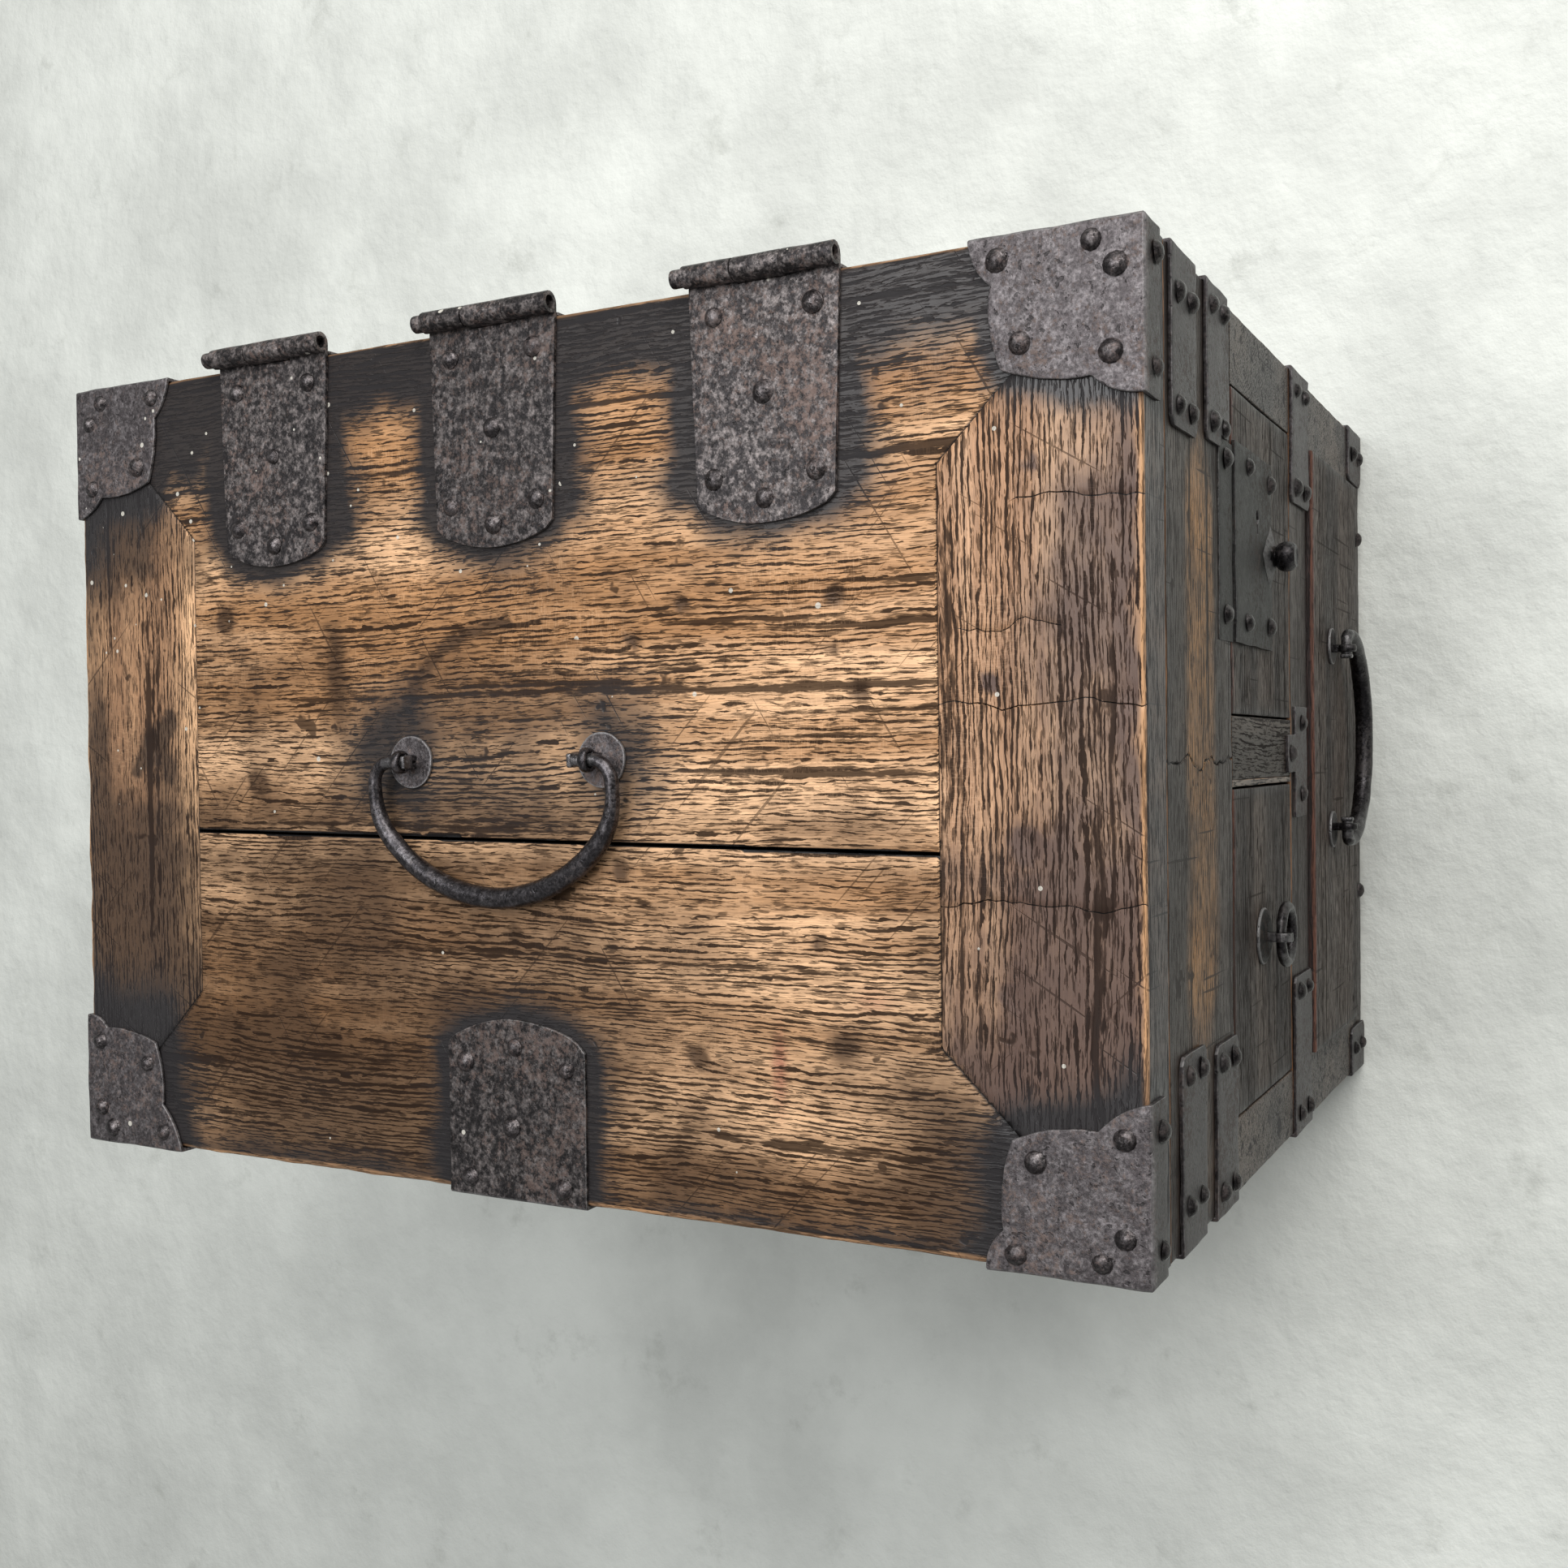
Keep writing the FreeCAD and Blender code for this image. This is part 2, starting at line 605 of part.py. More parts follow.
def corner_nails(spots, outline):
    """The nails of a corner plate at the +X, -Y corner."""
    nails = []
    for across, along in spots:
        nails.append(nail_at(HALF_W - across, FRONT_Y + along, LID_TOP_Z + IRON_T, UP))
    z = LID_TOP_Z + IRON_T - CORNER_FLANGE + FLANGE_NAIL_RISE
    for share in FLANGE_NAILS:
        end_x = HALF_W - share * outline[-1][0]
        side_y = FRONT_Y + share * outline[0][1]
        nails.append(nail_at(end_x, FRONT_Y - IRON_T, z, FORWARD))
        nails.append(nail_at(HALF_W + IRON_T, side_y, z, Vector(1, 0, 0)))
    return nails


def lid_corners():
    """The four corner plates and all their nails."""
    plates = {}
    nails = []
    for name, outline in CORNER_OUTLINES.items():
        end, side = name.split("_")
        plate = mirrored_y(mirrored_x(corner_plate(outline), SIGNS[side]), -SIGNS[end])
        plates["lid_corner_plate_" + name] = plate
        for nail in corner_nails(CORNER_NAILS[name], outline):
            nails.append(mirrored_y(mirrored_x(nail, SIGNS[side]), -SIGNS[end]))
    return plates, nails


def strap_sheet(width, taper, reach, arch, edge_x, centre_y, sign, z):
    """A strap lying on the lid from an edge inwards, with an arched, clipped end."""
    half = width / 2.0
    end = half - taper
    inner = edge_x - sign * reach
    arch_side = Vector(-sign, 0, 0)
    points = {
        "edge_low": Vector(edge_x, centre_y - half, z),
        "edge_high": Vector(edge_x, centre_y + half, z),
        "side_high": Vector(inner + sign * LEAF_CLIP, centre_y + end, z),
        "end_high": Vector(inner, centre_y + end - LEAF_CLIP, z),
        "end_low": Vector(inner, centre_y - end + LEAF_CLIP, z),
        "side_low": Vector(inner + sign * LEAF_CLIP, centre_y - end, z),
    }
    edges = [
        line(points["edge_low"], points["edge_high"]),
        line(points["edge_high"], points["side_high"]),
        line(points["side_high"], points["end_high"]),
        bulge(points["end_high"], points["end_low"], arch, arch_side),
        line(points["end_low"], points["side_low"]),
        line(points["side_low"], points["edge_low"]),
    ]
    return outline_prism(edges, Vector(0, 0, IRON_T))


def lock_strap():
    """The strap on the lid's -X edge: a sheet on top, folded down over the edge."""
    sheet = strap_sheet(LOCK_STRAP_WIDTH, 0.0, LOCK_STRAP_REACH, LOCK_STRAP_ARCH,
                        -HALF_W, LOCK_STRAP_Y, -1.0, LID_TOP_Z)
    half = LOCK_STRAP_WIDTH / 2.0
    top = LID_TOP_Z + IRON_T
    fold = box(-HALF_W - IRON_T, -HALF_W, LOCK_STRAP_Y - half, LOCK_STRAP_Y + half, RIM_Z, top)
    strap = fuse([sheet, fold])
    outer = []
    for edge in strap.Edges:
        centre = edge.CenterOfMass
        if abs(centre.z - top) < 0.01 and abs(centre.x + HALF_W + IRON_T) < 0.01:
            outer.append(edge)
    return strap.makeChamfer(IRON_T * 0.5, outer)


def lock_strap_nails():
    """Six nails on top and two in the fold."""
    nails = []
    for share, away in LOCK_STRAP_NAILS:
        y = LOCK_STRAP_Y + share * LOCK_STRAP_WIDTH
        nails.append(nail_at(-HALF_W + away, y, LID_TOP_Z + IRON_T, UP))
    for share in (-0.34, 0.34):
        y = LOCK_STRAP_Y + share * LOCK_STRAP_WIDTH
        nails.append(nail_at(-HALF_W - IRON_T, y, RIM_Z + LID_T * 0.35, Vector(-1, 0, 0)))
    return nails


# ---- Hinges --------------------------------------------------------------------------
def knuckle(y0, y1):
    """A rolled knuckle, still solid, on the hinge line."""
    rim = polygon(Vector(HINGE_X, y0, HINGE_Z), Vector(1, 0, 0), UP, KNUCKLE_R, KNUCKLE_SIDES)
    return prism(rim, Vector(0, y1 - y0, 0))


def hinge_bore(y0, y1):
    """The room for the pin."""
    radius = PIN_R + PIN_CLEARANCE
    return Part.makeCylinder(radius, y1 - y0, Vector(HINGE_X, y0, HINGE_Z), Vector(0, 1, 0))


def hinge_parts(centre_y):
    """Lid leaf, case leaf and pin of one hinge, closed."""
    half = HINGE_WIDTH / 2.0
    third = HINGE_WIDTH / 6.0
    low = centre_y - half
    high = centre_y + half
    sheet = strap_sheet(HINGE_WIDTH, HINGE_TAPER, LEAF_REACH, LEAF_ARCH,
                        HALF_W, centre_y, 1.0, LID_TOP_Z)
    lid_parts = [sheet]
    for y0, y1 in ((low, centre_y - third), (centre_y + third, high)):
        lid_parts.append(box(HALF_W - 1.0, HINGE_X, y0, y1, LID_TOP_Z, LID_TOP_Z + IRON_T))
        lid_parts.append(knuckle(y0, y1))
    notch = box(HALF_W - KNUCKLE_GAP, HINGE_X, centre_y - third, centre_y + third,
                LID_TOP_Z, LID_TOP_Z + IRON_T)
    lid_leaf = fuse(lid_parts).cut(notch).cut(hinge_bore(low, high))

    inner = third - KNUCKLE_GAP
    foot = RIM_Z - CASE_LEAF_DROP
    shoulder = LID_TOP_Z - 2.0 * KNUCKLE_GAP
    x = HALF_W
    edges = [
        line(Vector(x, low, shoulder), Vector(x, low, foot)),
        bulge(Vector(x, low, foot), Vector(x, high, foot), LEAF_ARCH, DOWN),
        line(Vector(x, high, foot), Vector(x, high, shoulder)),
        line(Vector(x, high, shoulder), Vector(x, low, shoulder)),
    ]
    plate = outline_prism(edges, Vector(IRON_T, 0, 0))
    tab = box(HALF_W, HALF_W + IRON_T, centre_y - inner, centre_y + inner, shoulder - 1.0, HINGE_Z)
    case_leaf = fuse([plate, tab, knuckle(centre_y - inner, centre_y + inner)])
    case_leaf = case_leaf.cut(hinge_bore(low, high))

    start = low + PIN_RECESS
    end = high + KNUCKLE_GAP
    shaft = Part.makeCylinder(PIN_R, end - start, Vector(HINGE_X, start, HINGE_Z), Vector(0, 1, 0))
    rim = polygon(Vector(HINGE_X, end, HINGE_Z), Vector(1, 0, 0), UP, PIN_HEAD_R, KNUCKLE_SIDES)
    head = prism(rim, Vector(0, PIN_HEAD_L, 0))
    return lid_leaf, case_leaf, fuse([shaft, head])


def hinge_nails(centre_y):
    """Nails of the leaf on the lid, then of the leaf on the case."""
    on_lid = []
    for share, away in LEAF_NAILS:
        y = centre_y + share * HINGE_WIDTH
        on_lid.append(nail_at(HALF_W - away, y, LID_TOP_Z + IRON_T, UP))
    on_case = []
    for share, drop in ((-0.33, 12.0), (0.33, 12.0), (0.0, 34.0), (-0.33, 56.0), (0.33, 56.0)):
        y = centre_y + share * HINGE_WIDTH
        on_case.append(nail_at(HALF_W + IRON_T, y, RIM_Z - drop, Vector(1, 0, 0)))
    return on_lid, on_case


# ---- Bails and eyes ------------------------------------------------------------------
def section(x, y, heading, radius):
    """A rod's section on its middle line in the XY plane, square to its heading in degrees."""
    turn = math.radians(heading)
    across = Vector(-math.sin(turn), math.cos(turn), 0)
    corners = polygon(Vector(x, y, 0), across, UP, radius, ROD_SIDES)
    return Part.makePolygon(corners + [corners[0]])


def bail_stations(neck_end, widest, drop):
    """Points of half a bail's middle line with their headings, from neck to grip."""
    bend = widest - neck_end
    shoulder = bend + BAIL_ARM
    side_r = BAIL_SIDE_SHARE * widest
    off = widest - side_r
    span = drop - shoulder
    # The grip's arc meets the side arc without a kink and reaches the full drop.
    grip_r = (off * off + span * span - side_r * side_r) / (2.0 * (span - side_r))
    grip_x = grip_r - drop
    lean = math.degrees(math.atan2(off, shoulder + grip_x))
    stations = []
    for degrees in (0.0, 22.5, 45.0, 67.5, 90.0):
        turn = math.radians(degrees)
        x = -bend * (1.0 - math.cos(turn))
        stations.append((x, neck_end + bend * math.sin(turn), 90.0 + degrees))
    for step in range(BAIL_STEPS):
        degrees = (90.0 - lean) * step / BAIL_STEPS
        turn = math.radians(degrees)
        x = -shoulder - side_r * math.sin(turn)
        stations.append((x, off + side_r * math.cos(turn), 180.0 + degrees))
    for step in range(BAIL_STEPS + 1):
        degrees = lean * (1.0 - step / BAIL_STEPS)
        turn = math.radians(degrees)
        x = grip_x - grip_r * math.cos(turn)
        stations.append((x, grip_r * math.sin(turn), 270.0 - degrees))
    return stations


def bail(eye_half, widest, drop, slack):
    """A bail in the XY plane: its eyes lie on the Y axis and its grip towards -X."""
    tip_end = eye_half - EYE_WIDTH / 2.0 - slack
    neck_end = eye_half + EYE_WIDTH / 2.0 + slack
    half = bail_stations(neck_end, widest, drop)
    last = len(half) - 1
    sections = []
    for index, (x, y, heading) in enumerate(half):
        share = index / last
        radius = BAIL_NECK_R + (BAIL_GRIP_R - BAIL_NECK_R) * share * share * (3.0 - 2.0 * share)
        sections.append((x, y, heading, radius))
    for x, y, heading, radius in reversed(sections[:-1]):
        sections.append((x, -y, 540.0 - heading, radius))
    shapes = [Part.makeLoft([section(*one) for one in sections], True, True)]
    edge = BAIL_TIP / 2.0
    for sign in (1.0, -1.0):
        neck = Part.makeCylinder(BAIL_NECK_R, neck_end - tip_end, Vector(0, sign * tip_end, 0),
                                 Vector(0, sign, 0))
        low, high = sorted((sign * tip_end, sign * (tip_end - BAIL_TIP_LENGTH)))
        shapes.append(neck)
        shapes.append(box(-edge, edge, low, high, -edge, edge))
    return fuse(shapes)


def eye(hole_r, outer_r, through, legs_along_y):
    """A clinched eye on the origin: hole along Y, legs down through the wood below."""
    half = EYE_WIDTH / 2.0
    ring = Part.makeCylinder(outer_r, EYE_WIDTH, Vector(0, -half, 0), Vector(0, 1, 0))
    hole = Part.makeCylinder(hole_r, EYE_WIDTH, Vector(0, -half, 0), Vector(0, 1, 0))
    leg = EYE_LEG / 2.0
    shank = box(-leg, leg, -half, half, -through, -hole_r)
    length = CLINCH_LENGTH / 2.0
    if legs_along_y:
        clinch = box(-leg, leg, -length, length, -through - CLINCH_T, -through)
    else:
        clinch = box(-length, length, -half, half, -through - CLINCH_T, -through)
    return fuse([ring, shank, clinch]).cut(hole)


def bail_rest_angle():
    """How far the lid's bail tips down so that its grip lies on the lid."""
    fall = LID_EYE_STANDOFF - BAIL_GRIP_R - BAIL_REST_GAP
    return math.degrees(math.asin(fall / LID_BAIL_DROP))


def lid_eye_legs():
    """The room that the lid's eyes take in the wood."""
    leg = EYE_LEG / 2.0
    half = EYE_WIDTH / 2.0
    room = []
    for sign in (-1.0, 1.0):
        y = LID_BAIL_Y + sign * LID_EYE_HALF
        room.append(box(LID_BAIL_X - leg, LID_BAIL_X + leg, y - half, y + half, RIM_Z, LID_TOP_Z))
    return Part.makeCompound(room)


def washer(radius, centre, up, normal, cut):
    """A round backing washer, pierced by the eye's legs."""
    rim = polygon(centre, Vector(1, 0, 0), up, radius, WASHER_SIDES)
    return prism(rim, normal * WASHER_T).cut(cut)


def lid_bail_set():
    """The lid's bail, its two eyes and their washers."""
    swing = bail(LID_EYE_HALF, LID_BAIL_HALF, LID_BAIL_DROP, LID_BAIL_SLACK)
    swing = turned(swing, Vector(0, 0, 0), Vector(0, 1, 0), -bail_rest_angle())
    axis_z = LID_TOP_Z + LID_EYE_STANDOFF
    swing.translate(Vector(LID_BAIL_X, LID_BAIL_Y + LID_BAIL_SLIP, axis_z))
    eyes = []
    washers = []
    for sign in (-1.0, 1.0):
        one = eye(BAIL_NECK_R + BAIL_CLEARANCE, EYE_OUTER_R, LID_EYE_STANDOFF + LID_T, False)
        one.translate(Vector(LID_BAIL_X, LID_BAIL_Y + sign * LID_EYE_HALF, axis_z))
        eyes.append(one)
        seat = Vector(LID_BAIL_X, LID_BAIL_Y + sign * LID_WASHER_HALF, LID_TOP_Z)
        washers.append(washer(LID_WASHER_R, seat, Vector(0, 1, 0), UP, one))
    return swing, eyes, washers


def upright_front(shape, x, y, z):
    """Turns a set built on a level top so that it hangs on the front face, grip down."""
    stood = turned(shape, Vector(0, 0, 0), Vector(0, 0, 1), 90.0)
    stood = turned(stood, Vector(0, 0, 0), Vector(1, 0, 0), 90.0)
    stood.translate(Vector(x, y, z))
    return stood


def drawer_bail_set():
    """The wide drawer's bail, eyes and washers."""
    face_y = FRONT_Y - WIDE_DRAWER_PROUD
    axis_y = face_y - DRAWER_EYE_STANDOFF
    through = DRAWER_EYE_STANDOFF + DRAWER_FRONT_T + WIDE_DRAWER_PROUD
    swing = bail(DRAWER_EYE_HALF, DRAWER_BAIL_HALF, DRAWER_BAIL_DROP, DRAWER_BAIL_SLACK)
    swing = upright_front(swing, DRAWER_BAIL_X, axis_y, DRAWER_BAIL_Z)
    eyes = []
    washers = []
    for sign in (-1.0, 1.0):
        one = eye(BAIL_NECK_R + BAIL_CLEARANCE, EYE_OUTER_R, through, False)
        one = upright_front(one, DRAWER_BAIL_X + sign * DRAWER_EYE_HALF, axis_y, DRAWER_BAIL_Z)
        eyes.append(one)
        seat = Vector(DRAWER_BAIL_X + sign * DRAWER_WASHER_HALF, face_y, DRAWER_BAIL_Z)
        washers.append(washer(DRAWER_WASHER_R, seat, UP, FORWARD, one))
    return swing, eyes, washers


def ring_set():
    """The left drawer's ring, its eye and its dished plate."""
    axis_y = FRONT_Y - RING_STANDOFF
    middle = Vector(RING_X, axis_y, RING_Z - RING_R)
    sections = []
    for step in range(RING_STEPS):
        turn = 2.0 * math.pi * step / RING_STEPS
        out = Vector(math.sin(turn), 0, math.cos(turn))
        sections.append(polygon(middle + out * RING_R, out, FORWARD, RING_ROD_R, ROD_SIDES))
    ring = flat_faced(sections, True)
    hole_r = RING_ROD_R + RING_HOLE_CLEARANCE
    loop = eye(hole_r, hole_r + RING_EYE_WALL, RING_STANDOFF + DRAWER_FRONT_T, False)
    loop = upright_front(loop, RING_X, axis_y, RING_Z)
    centre = Vector(RING_X, FRONT_Y, RING_Z)
    outlines = []
    for rise, radius in ((0.0, RING_PLATE_R), (RING_PLATE_RIM, RING_PLATE_R),
                         (RING_PLATE_H, RING_PLATE_FLAT)):
        outlines.append(polygon(centre + FORWARD * rise, Vector(1, 0, 0), UP, radius, WASHER_SIDES))
    return ring, loop, flat_faced(outlines, False).cut(loop)


# ---- Lock, striker and knob ----------------------------------------------------------
def striker_plate_blank():
    """The striker: a leaf on the front board, folded under its lower edge."""
    front = FRONT_Y - STRIKER_PROUD
    leaf = box(STRIKER_LOW_X, STRIKER_HIGH_X, front, front + IRON_T,
               FRONT_BOARD_Z, FRONT_BOARD_Z + STRIKER_H)
    lip = box(STRIKER_LOW_X, STRIKER_HIGH_X, front, FRONT_Y + STRIKER_LIP,
              FRONT_BOARD_Z, FRONT_BOARD_Z + IRON_T)
    return fuse([leaf, lip])


def striker_notch():
    """The room that the striker's end takes in the strap beside it."""
    reach = STRIKER_HIGH_X + STRIKER_GAP
    top = FRONT_BOARD_Z + STRIKER_H + STRIKER_GAP
    return box(STRIKER_LOW_X, reach, FRONT_Y - IRON_T, FRONT_Y, FRONT_BOARD_Z, top)


def bolt_middle_y():
    """The middle of the bolt's thickness, inside the drawer front."""
    return FRONT_Y + DRAWER_FRONT_T - LOCK_CASE_DEPTH / 2.0


def bolt_slot(z0, z1):
    """The bolt with its running gap, between two levels."""
    half_w = BOLT_WIDTH / 2.0 + BOLT_GAP
    half_t = BOLT_T / 2.0 + BOLT_GAP
    y = bolt_middle_y()
    return box(LOCK_X - half_w, LOCK_X + half_w, y - half_t, y + half_t, z0, z1)


def bolt_mortise():
    """The hole in the front board that takes the bolt."""
    return bolt_slot(FRONT_BOARD_Z, FRONT_BOARD_Z + BOLT_TRAVEL + MORTISE_SPARE)


def lock_plate():
    """The plate round the keyhole."""
    top = FRONT_BOARD_Z - DRAWER_TOP_GAP - LOCK_PLATE_TOP_GAP
    half = LOCK_PLATE_WIDTH / 2.0
    plate = box(LOCK_X - half, LOCK_X + half, FRONT_Y - IRON_T, FRONT_Y, top - LOCK_PLATE_H, top)
    return plate.cut(keyhole(FRONT_Y - IRON_T, FRONT_Y))


def keyhole(y0, y1):
    """A round hole with a tail to one side."""
    z = FRONT_BOARD_Z - KEYHOLE_DROP
    centre = Vector(KEYHOLE_X, y0, z)
    round_part = Part.makeCylinder(KEYHOLE_R, y1 - y0, centre, Vector(0, 1, 0))
    half = KEYHOLE_TAIL_W / 2.0
    tail = box(KEYHOLE_X - KEYHOLE_TAIL, KEYHOLE_X, y0, y1, z - half, z + half)
    return fuse([round_part, tail])


def lock_plate_nails():
    """Four nails near the plate's corners."""
    top = FRONT_BOARD_Z - DRAWER_TOP_GAP - LOCK_PLATE_TOP_GAP
    nails = []
    for across, down in LOCK_NAILS:
        nails.append(nail_at(LOCK_X + across, FRONT_Y - IRON_T, top - down, FORWARD))
    return nails


def lock_case_room():
    """The recess for the lock's case in the back of the drawer front."""
    top = FRONT_BOARD_Z - DRAWER_TOP_GAP - LOCK_CASE_DROP
    half = LOCK_CASE_WIDTH / 2.0
    back = FRONT_Y + DRAWER_FRONT_T
    return box(LOCK_X - half, LOCK_X + half, back - LOCK_CASE_DEPTH, back, top - LOCK_CASE_H, top)


def lock_case():
    """A thin-walled case, open where the bolt rises and where the key enters."""
    outer = lock_case_room()
    limits = outer.BoundBox
    wall = LOCK_CASE_WALL
    hollow = box(limits.XMin + wall, limits.XMax - wall, limits.YMin + wall, limits.YMax - wall,
                 limits.ZMin + wall, limits.ZMax - wall)
    key_way = keyhole(limits.YMin, limits.YMin + wall)
    return outer.cut(hollow).cut(bolt_slot(limits.ZMax - wall, limits.ZMax)).cut(key_way)


def lock_bolt():
    """The bolt, drawn down so that the drawer is free."""
    top = FRONT_BOARD_Z - DRAWER_TOP_GAP - BOLT_TOP_GAP
    y = bolt_middle_y()
    half_w = BOLT_WIDTH / 2.0
    half_t = BOLT_T / 2.0
    bar = box(LOCK_X - half_w, LOCK_X + half_w, y - half_t, y + half_t, top - BOLT_H, top)
    notch = Part.makeCylinder(BOLT_WIDTH * 0.2, BOLT_T, Vector(LOCK_X, y - half_t, top - BOLT_H),
                              Vector(0, 1, 0))
    return bar.cut(notch)


def knob():
    """A turned knob: stem through the front, neck and a head like a thick bead."""
    z = FRONT_BOARD_Z - KNOB_DROP
    middle = FRONT_Y - IRON_T - KNOB_PLATE_H - KNOB_STEM
    half = math.asin(KNOB_HEAD_T / 2.0 / KNOB_R)
    rings = [(FRONT_Y + DRAWER_FRONT_T, KNOB_NECK_R), (middle + KNOB_HEAD_T / 2.0, KNOB_NECK_R)]
    for share in (1.0, 0.5, 0.0, -0.5, -1.0):
        rings.append((middle + KNOB_R * math.sin(share * half), KNOB_R * math.cos(share * half)))
    outlines = []
    for y, radius in rings:
        outlines.append(polygon(Vector(LOCK_X, y, z), Vector(1, 0, 0), UP, radius, KNOB_SIDES))
    return flat_faced(outlines, False)


def knob_stem_room():
    """The hole that the knob's stem takes."""
    z = FRONT_BOARD_Z - KNOB_DROP
    return Part.makeCylinder(KNOB_NECK_R + KNOB_HOLE_GAP, DRAWER_FRONT_T + IRON_T + KNOB_PLATE_H,
                             Vector(LOCK_X, FRONT_Y - IRON_T - KNOB_PLATE_H, z), Vector(0, 1, 0))


def knob_plate():
    """A raised four-pointed plate under the knob, let over the lock plate's edge."""
    z = FRONT_BOARD_Z - KNOB_DROP
    across = Vector(1, 0, 0)
    seat = Vector(LOCK_X, FRONT_Y - IRON_T, z)
    foot = polygon(seat, across, UP, KNOB_PLATE_HALF, 4)
    crown = polygon(seat + FORWARD * KNOB_PLATE_H, across, UP, KNOB_PLATE_FLAT, 4)
    raised = flat_faced([foot, crown], False)
    base = prism(foot, Vector(0, IRON_T, 0))
    return fuse([raised, base]).cut(lock_plate()).cut(knob_stem_room())


# ---- Drawers -------------------------------------------------------------------------
def drawer(x0, x1, z0, z1, top_gap, proud):
    """Front, sides, back and bottom of a drawer that fills an opening."""
    left = x0 + DRAWER_SIDE_GAP
    right = x1 - DRAWER_SIDE_GAP
    front_back = FRONT_Y + DRAWER_FRONT_T
    lap_y = front_back - DRAWER_LAP
    tail = BACK_INNER_Y - DRAWER_TAIL_GAP
    side_top = z1 - top_gap - DRAWER_SIDE_DROP
    side_low = z0 + DRAWER_BOTTOM_T
    bottom = box(left, right, lap_y, tail, z0, side_low)
    sides = [
        box(left, left + DRAWER_SIDE_T, lap_y, tail, side_low, side_top),
        box(right - DRAWER_SIDE_T, right, lap_y, tail, side_low, side_top),
    ]
    back = box(left + DRAWER_SIDE_T, right - DRAWER_SIDE_T, tail - DRAWER_BACK_T, tail,
               side_low, side_top)
    front = box(left, right, FRONT_Y - proud, front_back, z0 + DRAWER_SILL_GAP, z1 - top_gap)
    for piece in sides + [bottom]:
        front = front.cut(piece)
    return {"front": front, "sides": sides, "back": back, "bottom": bottom}


def drawers():
    """The three drawers, by name."""
    upper = (UPPER_ROW_Z, FRONT_BOARD_Z, DRAWER_TOP_GAP, 0.0)
    lower = (LOWER_ROW_Z, MIDDLE_RAIL_Z, WIDE_DRAWER_TOP_GAP, WIDE_DRAWER_PROUD)
    return {
        "right": drawer(STILE_RIGHT_X, INNER_X, *upper),
        "left": drawer(-INNER_X, STILE_LEFT_X - SHIM_T, *upper),
        "bottom": drawer(-INNER_X, INNER_X, *lower),
    }


